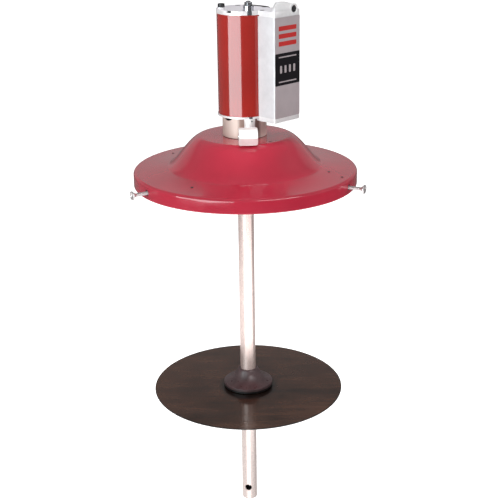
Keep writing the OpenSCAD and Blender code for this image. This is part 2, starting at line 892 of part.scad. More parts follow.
// Two tie screws are sunk in the deck, and the left one stands on a low lug
sunk_ties = [tie_angles[1], tie_angles[2]];
left_tie = tie_angles[3];
left_lug_r = 7;
nut_room_r = 16;
rim_notch_r = 4.3;
rim_notch_a = -76;

// The ridge has a round section, a near end that slopes in, and a crest that falls to the inlet's boss
module ridge() {
    r = ridge_h - over / 2;
    x_in = chest_x - ridge_w;
    z = deck_z - 2 * over;
    section = concat(
        [[x_in, z], [chest_x, z]],
        arc([chest_x - r, deck_z + ridge_h - r], r, 0, 90, 8),
        arc([x_in + r * 0.6, deck_z + ridge_h - r * 0.6], r * 0.6, 90, 180, 5)
    );
    near = chest_near_y + chest_corner_r;
    foot_x = chest_x - ridge_w * 0.37;
    plan = [[chest_x + over, near], [foot_x, near], [x_in - over, near + ridge_w * 0.67],
        [x_in - over, inlet_y], [chest_x + over, inlet_y]];
    // Places along the line at 45 degrees that the near end and the crest follow
    foot_u = (foot_x + near) * cos(45);
    boss_u = (chest_x + inlet_y) * cos(45);
    crest_z = deck_z + ridge_h;
    side = concat(
        [[foot_u, z]],
        bezier([[foot_u, deck_z], [foot_u + 0.45 * ridge_lean, deck_z + 0.75 * ridge_h],
            [foot_u + 0.55 * ridge_lean, crest_z], [foot_u + ridge_lean, crest_z]], 8),
        [[boss_u, inlet_z + inlet_boss_r - over / 2], [boss_u, z]]
    );
    intersection() {
        translate([0, chest_far_y, 0])
            rotate([90, 0, 0])
                linear_extrude(chest_far_y - chest_near_y)
                    polygon(section);
        translate([0, 0, z - over])
            linear_extrude(ridge_h + 4 * over)
                polygon(plan);
        rotate([0, 0, 45])
            rotate([90, 0, 0])
                linear_extrude(chest_x)
                    polygon(side);
    }
}

module upper_cap() {
    spigot_end = top_z - cap_inner_h;
    boss_x = chest_x - ridge_w;
    color([0.90, 0.90, 0.91])
        difference() {
            union() {
                bar(shroud_r, top_z, deck_z);
                chest_block(top_z, deck_z);
                chest_block(head_z, deck_z, shroud_r + over);
                cap_disc(top_z - cap_disc_h);
                bar(bore_r - seat, spigot_end, top_z);
                translate(polar(tie_out_r, left_tie))
                    bar(left_lug_r, deck_z - over, deck_z + lug_h);
                translate(polar(tie_out_r, front_tie))
                    bar(front_lug_r, top_z, deck_z + front_lug_h);
                ridge();
                translate([boss_x, inlet_y, inlet_z])
                    rotate([0, 90, 0])
                        cylinder(r = inlet_boss_r, h = ridge_w + inlet_boss_proud);
            }
            bar(nut_room_r, spigot_end - over, deck_z - deck_t / 2);
            seal_groove(bore_r - seat, spigot_end + cap_spigot_h / 2);
            cap_passage(high_air_z, spigot_end - over);
            translate([0, inlet_y, inlet_z])
                rotate([0, 90, 0]) {
                    translate([0, 0, chest_x + inlet_boss_proud - inlet_d])
                        cylinder(r = inlet_r, h = inlet_d + over);
                    translate([0, 0, chest_x + inlet_boss_proud - over])
                        cylinder(r1 = inlet_r, r2 = inlet_r + 2 * over, h = 2 * over);
                    translate([0, 0, valve_x - gallery_r])
                        cylinder(r = 1.2 * gallery_r, h = chest_x - valve_x);
                }
            translate([valve_x, inlet_y, 0])
                bar(gallery_r, head_z - over, inlet_z);
            translate(polar(shroud_r, rim_notch_a))
                bar(rim_notch_r, deck_z - deck_t / 2, deck_z + over);
            for (a = tie_angles)
                translate(polar(tie_out_r, a))
                    bar(tie_r + bolt_gap, top_z - cap_disc_h - over, deck_z + front_lug_h + over);
            for (a = sunk_ties)
                translate(polar(tie_out_r, a))
                    bar(sunk_head_r + bolt_gap / 2, deck_z - sunk_head_h - rest, deck_z + over);
            for (p = chest_screw_places)
                translate(p) {
                    bar(chest_screw_r + bolt_gap, head_z - over, deck_z + over);
                    bar(chest_head_r + bolt_gap, deck_z - chest_head_h - rest, deck_z + over);
                }
        }
}

module tie_screws() {
    color([0.10, 0.10, 0.11])
        union() {
            translate(polar(tie_out_r, left_tie))
                translate([0, 0, deck_z + lug_h])
                    socket_screw(tie_r, deck_z + lug_h - lip_z, tie_head_r, tie_head_h);
            for (a = sunk_ties)
                translate(polar(tie_out_r, a))
                    translate([0, 0, deck_z - sunk_head_h])
                        socket_screw(tie_r, deck_z - sunk_head_h - lip_z, sunk_head_r, sunk_head_h - rest);
        }
}

module front_tie_screw() {
    z = deck_z + front_lug_h;
    color([0.80, 0.80, 0.82])
        translate(polar(tie_out_r, front_tie)) {
            bar(tie_r, lip_z, z + rest);
            translate([0, 0, z])
                hexagon(2 * tie_head_r, tie_head_h);
            translate([0, 0, z + tie_head_h - rest])
                cylinder(r1 = tie_head_r * 0.8, r2 = tie_head_r * 0.5, h = tie_head_h / 3);
        }
}

module chest_screws() {
    color([0.14, 0.14, 0.15])
        for (p = chest_screw_places)
            translate(p) {
                translate([0, 0, deck_z - chest_head_h])
                    socket_screw(chest_screw_r, deck_t - chest_head_h + chest_head_t + chest_screw_l / 2,
                        chest_head_r, chest_head_h - rest);
                translate([0, 0, cap_z - chest_foot_t + chest_head_h])
                    rotate([180, 0, 0])
                        socket_screw(chest_screw_r, chest_foot_t - chest_head_h + chest_screw_l / 2,
                            chest_head_r, chest_head_h - rest);
            }
}

module pump_tube() {
    color([0.80, 0.74, 0.72])
        ring(tube_r, tube_in_r, tube_l, joint_z);
}

module pump_barrel() {
    color([0.66, 0.67, 0.70])
        ring(tube_in_r - seat, plunger_r + slide, barrel_l, barrel_z);
}

// Carries the intake valve: a seat below and a cage round the valve
module intake_body() {
    r = tube_in_r - seat;
    color([0.62, 0.62, 0.64])
        difference() {
            bar(r, intake_z, barrel_z);
            bar(0.62 * tube_in_r, intake_z - over, barrel_z + over);
            bar(0.9 * tube_in_r, intake_seat_z, barrel_z + over);
        }
}

module foot_tube() {
    bevel = tube_t;
    color([0.80, 0.74, 0.72])
        difference() {
            rotate_extrude()
                polygon([[foot_in_r, foot_z], [tube_r - bevel, foot_z], [tube_r, foot_z + bevel],
                    [tube_r, joint_z], [tube_in_r - seat, joint_z], [tube_in_r - seat, intake_z],
                    [foot_in_r, intake_z]]);
            rotate([0, 0, window_a])
                translate([0, 0, foot_z + window_h])
                    rotate([0, 90, 0])
                        cylinder(d = window_d, h = 3 * tube_r, center = true);
        }
}

thread_r = 0.8 * rod_r;
rod_nut_h = 10;
piston_groove_z = piston_z + piston_t / 2;
piston_clear = 0.3;

module air_piston() {
    r = bore_r - piston_clear;
    color([0.75, 0.76, 0.78])
        difference() {
            bar(r, piston_z, piston_z + piston_t);
            ring(r + over, r - 2 * groove_depth, 2 * groove_h, piston_groove_z - groove_h);
            ring(r * 0.82, 2.2 * rod_r, piston_t / 4 + over, piston_z + piston_t * 0.75);
            bar(rod_r + seat, piston_z - over, piston_z + piston_t / 2);
            bar(thread_r + seat, piston_z, piston_z + piston_t + over);
        }
}

module piston_seal() {
    color([0.10, 0.10, 0.11])
        ring(bore_r - slide, bore_r - piston_clear - 2 * groove_depth + seat,
            2 * groove_h - 2 * rest, piston_groove_z - groove_h + rest);
}

module piston_nut() {
    color([0.55, 0.56, 0.58])
        translate([0, 0, piston_z + piston_t])
            difference() {
                hexagon(3 * rod_r, rod_nut_h);
                translate([0, 0, -over])
                    cylinder(r = thread_r + seat, h = rod_nut_h + 2 * over);
            }
}

module piston_rod() {
    color([0.83, 0.84, 0.86])
        difference() {
            union() {
                bar(rod_r, coupling_z + coupling_l + rest, piston_z + piston_t / 2);
                bar(thread_r, coupling_z + coupling_l / 2 + rest, piston_z + piston_t + rod_nut_h);
            }
            coupling_cross(pin_r + seat, coupling_r);
        }
}

pin_r = 1.5;

module rod_coupling() {
    top = coupling_z + coupling_l;
    color([0.58, 0.59, 0.61])
        difference() {
            bar(coupling_r, coupling_z, top);
            bar(thread_r + seat, coupling_z + coupling_l / 2, top + over);
            bar(pump_rod_r + seat, coupling_z - over, coupling_z + coupling_l / 2 + over);
            coupling_cross(pin_r + seat, 2 * coupling_r);
        }
}

// Two cross pins, one through each rod's end
module coupling_cross(r, reach) {
    for (s = [1, 3])
        translate([0, 0, coupling_z + s * coupling_l / 4])
            rotate([90, 0, 0])
                cylinder(r = r, h = 2 * reach, center = true);
}

module coupling_pins() {
    color([0.50, 0.50, 0.52])
        coupling_cross(pin_r, coupling_r - rest);
}

module pump_rod() {
    color([0.80, 0.81, 0.83])
        difference() {
            bar(pump_rod_r, plunger_top_z - cage_h / 2, coupling_z + coupling_l / 2 - rest);
            coupling_cross(pin_r + seat, coupling_r);
        }
}

// Plunger: lower neck with cross ports, sealing land, and a cage over the ball
module pump_plunger() {
    cage_r = neck_seat_r;
    color([0.74, 0.75, 0.78])
        difference() {
            union() {
                bar(cage_r, plunger_z, plunger_top_z);
                bar(plunger_r, land_z, land_z + land_h);
            }
            bar(primer_rod_r + seat, plunger_z - over, plunger_z + plunger_neck_h * 0.4);
            bar(ball_seat_r, plunger_z + plunger_neck_h * 0.6, land_z + over);
            bar(ball_room_r, land_z, plunger_top_z - cage_h / 2);
            bar(pump_rod_r + seat, land_z, plunger_top_z + over);
            for (a = [0, 90]) {
                rotate([90, 0, a])
                    translate([0, plunger_z + plunger_neck_h * 0.8, 0])
                        cylinder(r = port_r, h = 4 * cage_r, center = true);
                rotate([90, 0, a])
                    translate([0, plunger_top_z - cage_h * 0.7, 0])
                        cylinder(r = port_r, h = 4 * cage_r, center = true);
            }
            for (s = plunger_ring_shares)
                ring(plunger_r + over, plunger_r - plunger_ring_w, plunger_ring_w,
                    land_z + s * land_h);
        }
}

plunger_ring_w = 1.2;
plunger_ring_shares = [0.3, 0.6];

module plunger_rings() {
    color([0.90, 0.88, 0.84])
        for (s = plunger_ring_shares)
            ring(plunger_r + slide / 2, plunger_r - plunger_ring_w + rest,
                plunger_ring_w - 2 * rest, land_z + s * land_h + rest);
}

module delivery_ball() {
    color([0.85, 0.85, 0.87])
        translate([0, 0, ball_z])
            sphere(r = ball_r);
}

module intake_valve() {
    color([0.70, 0.70, 0.72])
        ring(intake_out_r, intake_in_r, intake_t, intake_seat_z + rest);
}

module priming_rod() {
    color([0.80, 0.81, 0.83])
        bar(primer_rod_r, foot_z + primer_lift / 4, plunger_z + plunger_neck_h * 0.4 - rest);
}

module priming_piston() {
    r = foot_in_r - foot_wall / 2;
    color([0.66, 0.66, 0.68])
        difference() {
            bar(r, primer_z, primer_z + primer_t);
            bar(primer_rod_r + seat, primer_z - over, primer_z + primer_t + over);
        }
}

module priming_nut() {
    h = primer_lift * 0.6;
    color([0.50, 0.50, 0.52])
        translate([0, 0, primer_z - h])
            difference() {
                hexagon(2.9 * primer_rod_r, h);
                translate([0, 0, -over])
                    cylinder(r = primer_rod_r + seat, h = h + 2 * over);
            }
}

// The grommet is gripped in the plate's hole between its bell and its lower flange
waist_r = 21;
grommet_foot_r = 30;
grommet_foot_t = 5;
wiper_r = tube_r + 2 * slide;
wiper_h = 4;
relief = 1.6;
follower_z = -follower_drop;

module follower_plate() {
    color([0.16, 0.12, 0.11])
        ring(follower_r, waist_r + seat, follower_t, follower_z - follower_t);
}

module follower_grommet() {
    top = grommet_h;
    foot = -follower_t - grommet_foot_t;
    bell = bezier([[lip_r - 2 * over, grommet_lip_h + over], [0.73 * lip_r, 0.41 * top],
        [0.57 * lip_r, 0.51 * top], [grommet_top_r, top - over]], 14);
    outline = concat(
        [[wiper_r, foot], [grommet_foot_r, foot], [grommet_foot_r, -follower_t], [waist_r, -follower_t],
            [waist_r, 0], [lip_r - over, 0], [lip_r, over], [lip_r, grommet_lip_h]],
        bell,
        [[grommet_top_r - over, top], [wiper_r, top], [wiper_r, top - wiper_h],
            [wiper_r + relief, top - wiper_h - relief], [wiper_r + relief, foot + wiper_h + relief],
            [wiper_r, foot + wiper_h]]
    );
    color([0.20, 0.17, 0.19])
        translate([0, 0, follower_z])
            rotate_extrude()
                polygon(outline);
}

drum_cover();
weld_nuts();
cover_gasket();
mounting_nut();
outlet_body();
outlet_elbow();
packing_rings();
gland_nut();
neck_screws();
lower_cap();
rod_bushing();
rod_seal();
lower_bumper();
motor_cylinder();
cylinder_seals();
cylinder_shroud();
valve_chest();
valve_sleeve();
sleeve_seals();
valve_plug();
gallery_plug();
upper_cap();
upper_bumper();
tie_screws();
front_tie_screw();
chest_screws();
exhaust_muffler();
pump_tube();
pump_barrel();
intake_body();
foot_tube();
air_piston();
piston_seal();
piston_nut();
piston_rod();
rod_coupling();
coupling_pins();
pump_rod();
pump_plunger();
plunger_rings();
priming_rod();
priming_piston();
priming_nut();
delivery_ball();
intake_valve();
valve_spool();
follower_plate();
follower_grommet();
thumb_screw_right();
thumb_screw_rear();
thumb_screw_left();
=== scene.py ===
"""Finishes an air-operated grease pump: its paint, castings, steel tubes, rubber and label."""
import json
import math

import bmesh
import bpy
from mathutils import Matrix, Vector


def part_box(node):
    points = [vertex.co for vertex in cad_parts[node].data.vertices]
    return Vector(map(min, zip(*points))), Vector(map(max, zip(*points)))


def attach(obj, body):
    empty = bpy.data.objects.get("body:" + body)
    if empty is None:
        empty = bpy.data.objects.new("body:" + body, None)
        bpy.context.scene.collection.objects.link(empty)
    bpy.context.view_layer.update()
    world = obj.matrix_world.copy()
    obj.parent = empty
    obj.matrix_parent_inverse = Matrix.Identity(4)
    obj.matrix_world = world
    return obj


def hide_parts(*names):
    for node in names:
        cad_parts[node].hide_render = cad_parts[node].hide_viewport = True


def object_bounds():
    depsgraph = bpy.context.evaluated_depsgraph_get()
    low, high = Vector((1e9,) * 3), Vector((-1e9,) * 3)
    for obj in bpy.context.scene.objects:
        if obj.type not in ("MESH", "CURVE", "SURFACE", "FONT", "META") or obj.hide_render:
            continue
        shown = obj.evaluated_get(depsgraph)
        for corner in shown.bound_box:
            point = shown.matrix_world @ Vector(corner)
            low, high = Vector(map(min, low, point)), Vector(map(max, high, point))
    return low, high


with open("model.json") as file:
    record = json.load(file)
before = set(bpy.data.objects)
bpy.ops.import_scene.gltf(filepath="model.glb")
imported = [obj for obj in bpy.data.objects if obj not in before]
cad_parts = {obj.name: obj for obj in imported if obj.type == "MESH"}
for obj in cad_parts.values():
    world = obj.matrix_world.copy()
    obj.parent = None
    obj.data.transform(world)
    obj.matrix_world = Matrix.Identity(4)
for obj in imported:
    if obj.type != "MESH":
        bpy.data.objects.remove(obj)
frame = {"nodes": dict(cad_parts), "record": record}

bl_info = {
    "name": "Grease Pump Finish",
    "version": (1, 0, 0),
    "blender": (4, 5, 0),
    "location": "3D View > Sidebar > Grease Pump",
    "description": "Builds and finishes the visible pieces of an air-operated grease pump",
    "category": "Object",
}

NODES = frame["nodes"]
RECORD = frame["record"]
BODY_OF = {node: body for body, nodes in RECORD["behaviour"]["bodies"].items() for node in nodes}
SLOT_OF = {row["node"]: row["material_slot"] for row in RECORD["subparts"]}
FRAME_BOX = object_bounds()
COVER_LOW, COVER_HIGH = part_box("drum_cover")
SHROUD_LOW, SHROUD_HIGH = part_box("cylinder_shroud")
CHEST_LOW, CHEST_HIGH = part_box("valve_chest")
TUBE_LOW, TUBE_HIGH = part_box("pump_tube")
PLATE_LOW, PLATE_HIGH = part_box("follower_plate")
GROMMET_LOW, GROMMET_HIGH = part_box("follower_grommet")
TIE_LOW, TIE_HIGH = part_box("front_tie_screw")
FRONT_TIE = (TIE_LOW + TIE_HIGH) / 2
MOUNTS = {row["name"]: row for row in RECORD["mounts"]}
MM = 0.001
FULL_TURN = 2 * math.pi
# Turn between two faces, in degrees, from which their edge stays sharp
SHARP_ANGLE = 32
# Degrees under which two faces of a CAD mesh are one flat face, and gaps that are closed, in metres
FLAT_ANGLE = 0.8
CAD_GAP = 2e-6
SPUN_GAP = 1e-6
# Steps of a thread ridge in one turn
THREAD_STEPS = 20
# Usual rounding of a piece's edges
EDGE = 0.4 * MM
# Watts of an area lamp, for each square metre, that make it as bright as white paper in the room
LAMP_WATTS = 4.0
# Width of the camera's sensor in millimetres, and how far it sees in metres
SENSOR_WIDTH = 36
CAMERA_FAR_END = 200
# CAD nodes that a finished piece stands for
STANDING_FOR = set()


# Settings that a user would change

def length(name, description, default):
    """A setting in metres."""
    return bpy.props.FloatProperty(name=name, description=description, default=default,
                                   unit="LENGTH", precision=4)


def angle(name, description, degrees):
    """A setting that is kept in radians."""
    return bpy.props.FloatProperty(name=name, description=description,
                                   default=math.radians(degrees), subtype="ANGLE")


def colour(name, description, default):
    """A setting of red, green and blue."""
    return bpy.props.FloatVectorProperty(name=name, description=description, default=default,
                                         size=3, min=0.0, max=1.0, subtype="COLOR")


class PumpCoverSettings(bpy.types.PropertyGroup):
    """Sizes of the drum cover and its screws"""
    radius: length("Radius", "Outer radius of the cover's skirt", COVER_HIGH.x)
    dome_height: length("Dome height", "Height of the dome's top above the rim", COVER_HIGH.z)
    skirt_height: length("Skirt height", "Depth of the skirt below the drum's rim", -COVER_LOW.z)
    sheet: length("Sheet", "Thickness of the steel sheet", 1.5 * MM)
    rim_radius: length("Rim radius", "Outer radius of the bend between skirt and flange", 5 * MM)
    dome_foot: length("Dome foot", "Radius where the dome's flank leaves the flange", 138 * MM)
    dome_top: length("Dome top", "Radius of the dome's flat top", 76 * MM)
    flange_rise: length("Flange rise", "Rise of the flange up to the dome's foot", 5.9 * MM)
    centre_hole: length("Centre hole", "Radius of the hole in the dome's top", 21.4 * MM)
    pin_hole: length("Pin hole", "Diameter of the small holes that plugs fill", 2.6 * MM)
    screw_hole: length("Screw hole", "Diameter of the skirt's thumb screw holes", 10.4 * MM)
    screw_drop: length("Screw drop", "Depth of the thumb screws below the drum's rim", 12 * MM)
    screw_turn: angle("Screw direction", "Direction of the right thumb screw", 17.75)
    screw_thread: length("Screw thread", "Diameter of a thumb screw's thread", 6.2 * MM)
    screw_pitch: length("Screw pitch", "Pitch of a thumb screw's thread", 1.3 * MM)
    screw_head: length("Screw head", "Diameter of a thumb screw's flared head", 15.5 * MM)
    screw_head_length: length("Screw head length", "Length of a thumb screw's head", 9 * MM)
    paint: colour("Paint", "Colour of the cover's paint", (0.46, 0.018, 0.044))


class PumpMotorSettings(bpy.types.PropertyGroup):
    """Sizes of the air motor, its shroud and its label"""
    shroud_wall: length("Shroud wall", "Thickness of the shroud's sheet", 1.2 * MM)
    paint: colour("Shroud paint", "Colour of the shroud's paint", (0.38, 0.018, 0.012))
    neck_radius: length("Neck radius", "Radius of the outlet body under the motor", 38.6 * MM)
    deck_height: length("Deck height", "Height of the motor's flat top above the rim", 278.5 * MM)
    lug_radius: length("Lug radius", "Radius of the lug under the front tie screw", 9 * MM)
    lug_height: length("Lug height", "Height of that lug's top above the drum's rim", 286.5 * MM)
    notch_turn: angle("Notch direction", "Direction of the recess in the motor's upper rim", -76)
    label_film: length("Label film", "Thickness of the label's film", 0.3 * MM)
    label_bottom: length("Label bottom", "Height of the label's lower edge", 101 * MM)
    label_top: length("Label top", "Height of the label's upper edge", 268.5 * MM)
    label_ground: colour("Label ground", "Colour of the label's ground", (0.40, 0.35, 0.365))
    label_red: colour("Label red", "Colour of the label's bars", (0.50, 0.020, 0.018))
    label_black: colour("Label black", "Colour of the label's band", (0.012, 0.011, 0.013))


class PumpTubeSettings(bpy.types.PropertyGroup):
    """Sizes of the pump tube"""
    radius: length("Radius", "Outer radius of the pump tube", TUBE_HIGH.x)
    wall: length("Wall", "Wall of the pump tube", 2.05 * MM)


class PumpFollowerSettings(bpy.types.PropertyGroup):
    """Sizes of the follower plate and its grommet"""
    radius: length("Radius", "Radius of the follower plate", PLATE_HIGH.x)
    waist: length("Waist", "Radius of the grommet in the plate's hole", 21 * MM)
    bell_drop: length("Bell drop", "Depth of the grommet's bell below its upper end", 31 * MM)
    plate_colour: colour("Plate colour", "Colour of the oiled plate", (0.058, 0.026, 0.015))


class PumpStageSettings(bpy.types.PropertyGroup):
    """Places of the camera and the lamps"""
    camera_reach: length("Camera reach", "Level distance from the axis to the camera", 1.8666)
    camera_height: length("Camera height", "Height of the camera above the drum's rim", 0.5130)
    camera_turn: angle("Camera direction", "Direction of the camera from the pump's axis", -45)
    camera_tip: angle("Camera tip", "How far the camera looks down", 19.669)
    camera_roll: angle("Camera roll", "Turn of the camera about its line of sight", -0.822)
    lens: bpy.props.FloatProperty(name="Lens", description="Focal length of the camera",
                                  default=78.62, unit="CAMERA")
    shift: bpy.props.FloatProperty(name="Shift", description="Sideways shift of the camera's view",
                                   default=0.00716)
    floor: length("Floor", "Width of the floor", 60.0)


# Making of meshes

def bezier(points, count):
    """Points of one cubic curve, both ends included."""
    made = []
    for i in range(count + 1):
        t = i / count
        u = 1 - t
        weights = (u * u * u, 3 * u * u * t, 3 * u * t * t, t * t * t)
        made.append(tuple(sum(w * p[k] for w, p in zip(weights, points)) for k in (0, 1)))
    return made


def bezier_sides(points, count, gap):
    """Points at a distance from one cubic curve, on its left side."""
    made = []
    for i, (x, z) in enumerate(bezier(points, count)):
        t = i / count
        u = 1 - t
        legs = [(b[0] - a[0], b[1] - a[1]) for a, b in zip(points, points[1:])]
        dx = u * u * legs[0][0] + 2 * u * t * legs[1][0] + t * t * legs[2][0]
        dz = u * u * legs[0][1] + 2 * u * t * legs[1][1] + t * t * legs[2][1]
        size = math.hypot(dx, dz)
        made.append((x - gap * dz / size, z + gap * dx / size))
    return made


def arc(x, z, radius, start, end, count):
    """Points of an arc, its angles in degrees."""
    turns = [math.radians(start + (end - start) * i / count) for i in range(count + 1)]
    return [(x + radius * math.cos(t), z + radius * math.sin(t)) for t in turns]


def spun(outline, steps=192, closed=True):
    """A bmesh of an outline of radii and heights, turned about the Z axis."""
    bm = bmesh.new()
    verts = [bm.verts.new((x, 0, z)) for x, z in outline]
    pairs = list(zip(verts, verts[1:]))
    if closed:
        pairs.append((verts[-1], verts[0]))
    edges = [bm.edges.new(pair) for pair in pairs]
    bmesh.ops.spin(bm, geom=verts + edges, cent=(0, 0, 0), axis=(0, 0, 1), angle=FULL_TURN,
                   steps=steps, use_merge=True)
    bmesh.ops.remove_doubles(bm, verts=bm.verts, dist=SPUN_GAP)
    bmesh.ops.recalc_face_normals(bm, faces=bm.faces)
    return bm


def merged_copy(node):
    """A bmesh of a CAD node, with its loose triangles joined and its flat faces whole."""
    bm = bmesh.new()
    bm.from_mesh(NODES[node].data)
    bmesh.ops.remove_doubles(bm, verts=bm.verts, dist=CAD_GAP)
    bmesh.ops.dissolve_limit(bm, angle_limit=math.radians(FLAT_ANGLE), verts=bm.verts,
                             edges=bm.edges, delimit={"NORMAL"})
    return bm


def sharpen(bm, degrees):
    """Smooths the faces, and keeps the edges sharp where the faces turn by more than an angle."""
    limit = math.radians(degrees)
    for face in bm.faces:
        face.smooth = True
    for edge in bm.edges:
        edge.smooth = len(edge.link_faces) == 2 and edge.calc_face_angle(0.0) < limit


def new_piece(name, bm, body, material, replaced=(), edge=0.0, degrees=SHARP_ANGLE,
              cutter=None):
    """Makes a piece of a bmesh, rounds its edges, and lets it ride on a body."""
    mesh = bpy.data.meshes.new(name)
    sharpen(bm, degrees)
    bm.to_mesh(mesh)
    bm.free()
    piece = bpy.data.objects.new(name, mesh)
    bpy.context.collection.objects.link(piece)
    if cutter is not None:
        cut_away(piece, cutter, degrees)
    mesh = piece.data
    mesh.materials.clear()
    mesh.materials.append(material)
    if edge:
        rounding = piece.modifiers.new("rounded_edges", "BEVEL")
        rounding.width = edge
        rounding.segments = 2
        rounding.limit_method = "ANGLE"
        rounding.angle_limit = math.radians(degrees)
        rounding.harden_normals = True
        rounding.miter_outer = "MITER_ARC"
    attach(piece, body)
    if replaced:
        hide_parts(*replaced)
        STANDING_FOR.update(replaced)
    return piece


def cut_away(piece, cutter, degrees):
    """Cuts a bmesh out of a piece, and keeps the result as its mesh."""
    mesh = bpy.data.meshes.new("cutter")
    cutter.to_mesh(mesh)
    cutter.free()
    tool = bpy.data.objects.new("cutter", mesh)
    bpy.context.collection.objects.link(tool)
    cut = piece.modifiers.new("cut", "BOOLEAN")
    cut.operation = "DIFFERENCE"
    cut.solver = "EXACT"
    cut.object = tool
    seen = piece.evaluated_get(bpy.context.evaluated_depsgraph_get())
    piece.data = bpy.data.meshes.new_from_object(seen)
    piece.modifiers.clear()
    bpy.data.objects.remove(tool)
    bm = bmesh.new()
    bm.from_mesh(piece.data)
    sharpen(bm, degrees)
    bm.to_mesh(piece.data)
    bm.free()


def dressed(node, material, edge=EDGE):
    """A finished copy of a CAD node that stands for it."""
    return new_piece(node + "_finish", merged_copy(node), BODY_OF[node], material,
                     [node], edge)


def add_cylinder(bm, radius, start, end, segments):
    """Adds a capped cylinder between two points."""
    way = end - start
    turn = way.to_track_quat("Z", "Y").to_matrix().to_4x4()
    matrix = Matrix.Translation((start + end) / 2) @ turn
    bmesh.ops.create_cone(bm, cap_ends=True, segments=segments, radius1=radius, radius2=radius,
                          depth=way.length, matrix=matrix)


def polar(radius, turn, z=0.0):
    """A point at a distance from the pump's axis."""
    return Vector((radius * math.cos(turn), radius * math.sin(turn), z))


def laid(bm, start, way):
    """Turns a bmesh's Z axis along a way, and moves its origin to a start."""
    turn = way.to_track_quat("Z", "Y").to_matrix().to_4x4()
    bmesh.ops.transform(bm, matrix=Matrix.Translation(start) @ turn, verts=bm.verts)
    return bm


def wind_thread(bm, root, crest, pitch, low, high):
    """Winds a closed thread ridge round the Z axis, from one height to another."""
    # Radius and height of the ridge's corners, each height a share of the pitch
    ridge = [(root, -0.42), (crest, -0.08), (crest, 0.08), (root, 0.42)]
    start = [bm.verts.new((x, 0, low + share * pitch)) for x, share in ridge]
    loop = [bm.edges.new(pair) for pair in zip(start, start[1:] + start[:1])]
    turns = (high - low) / pitch
    count = round(turns * THREAD_STEPS)
    made = bmesh.ops.spin(bm, geom=start + loop, cent=(0, 0, 0), axis=(0, 0, 1),
                          dvec=(0, 0, (high - low) / count), angle=FULL_TURN * turns, steps=count,
                          use_merge=False)
    last = [part for part in made["geom_last"] if isinstance(part, bmesh.types.BMEdge)]
    bm.faces.new(start)
    bmesh.ops.contextual_create(bm, geom=last)
    bmesh.ops.recalc_face_normals(bm, faces=bm.faces)


def thread_lining(name, mount, material, proud=0.0):
    """Lines a mount's hole with ribs that look like its thread."""
    radius = mount["dims"]["r_mm"] * MM
    depth = mount["dims"]["length_mm"] * MM + proud
    pitch = 1.4 * MM
    way = Vector(mount["axis"])
    mouth = Vector(mount["pos_m"]) + way * (depth - proud / 2) / 2
    wall = radius - 0.02 * MM
    valley = radius - 0.15 * MM
    crest = radius - 0.85 * MM
    outline = [(wall, -0.3 * MM)]
    for i in range(int(depth / pitch) - 1):
        outline += [(valley, -(i + 0.5) * pitch), (crest, -(i + 1) * pitch)]
    outline += [(wall, -depth + pitch)]
    return new_piece(name, laid(spun(outline, 64), mouth, way), "pump", material)


def button(name, radius, low, high, spot, material):
    """A small upright plug at a spot, with a rounded edge and a socket."""
    edge = min(EDGE, (high - low) / 3)
    floor = high - 0.55 * (high - low)
    outline = [(0, low), (radius, low)] + arc(radius - edge, high - edge, edge, 0, 90, 4)
    outline += [(0.5 * radius, high), (0.46 * radius, floor), (0, floor - 0.1 * radius)]
    bm = spun(outline, 40, closed=False)
    bmesh.ops.translate(bm, vec=(spot.x, spot.y, 0), verts=bm.verts)
    return new_piece(name, bm, "pump", material)


# Making of materials

def fill(node, **sockets):
    """Sets a node's inputs, each named with underscores for its spaces."""
    for name, value in sockets.items():
        node.inputs[name.replace("_", " ")].default_value = value


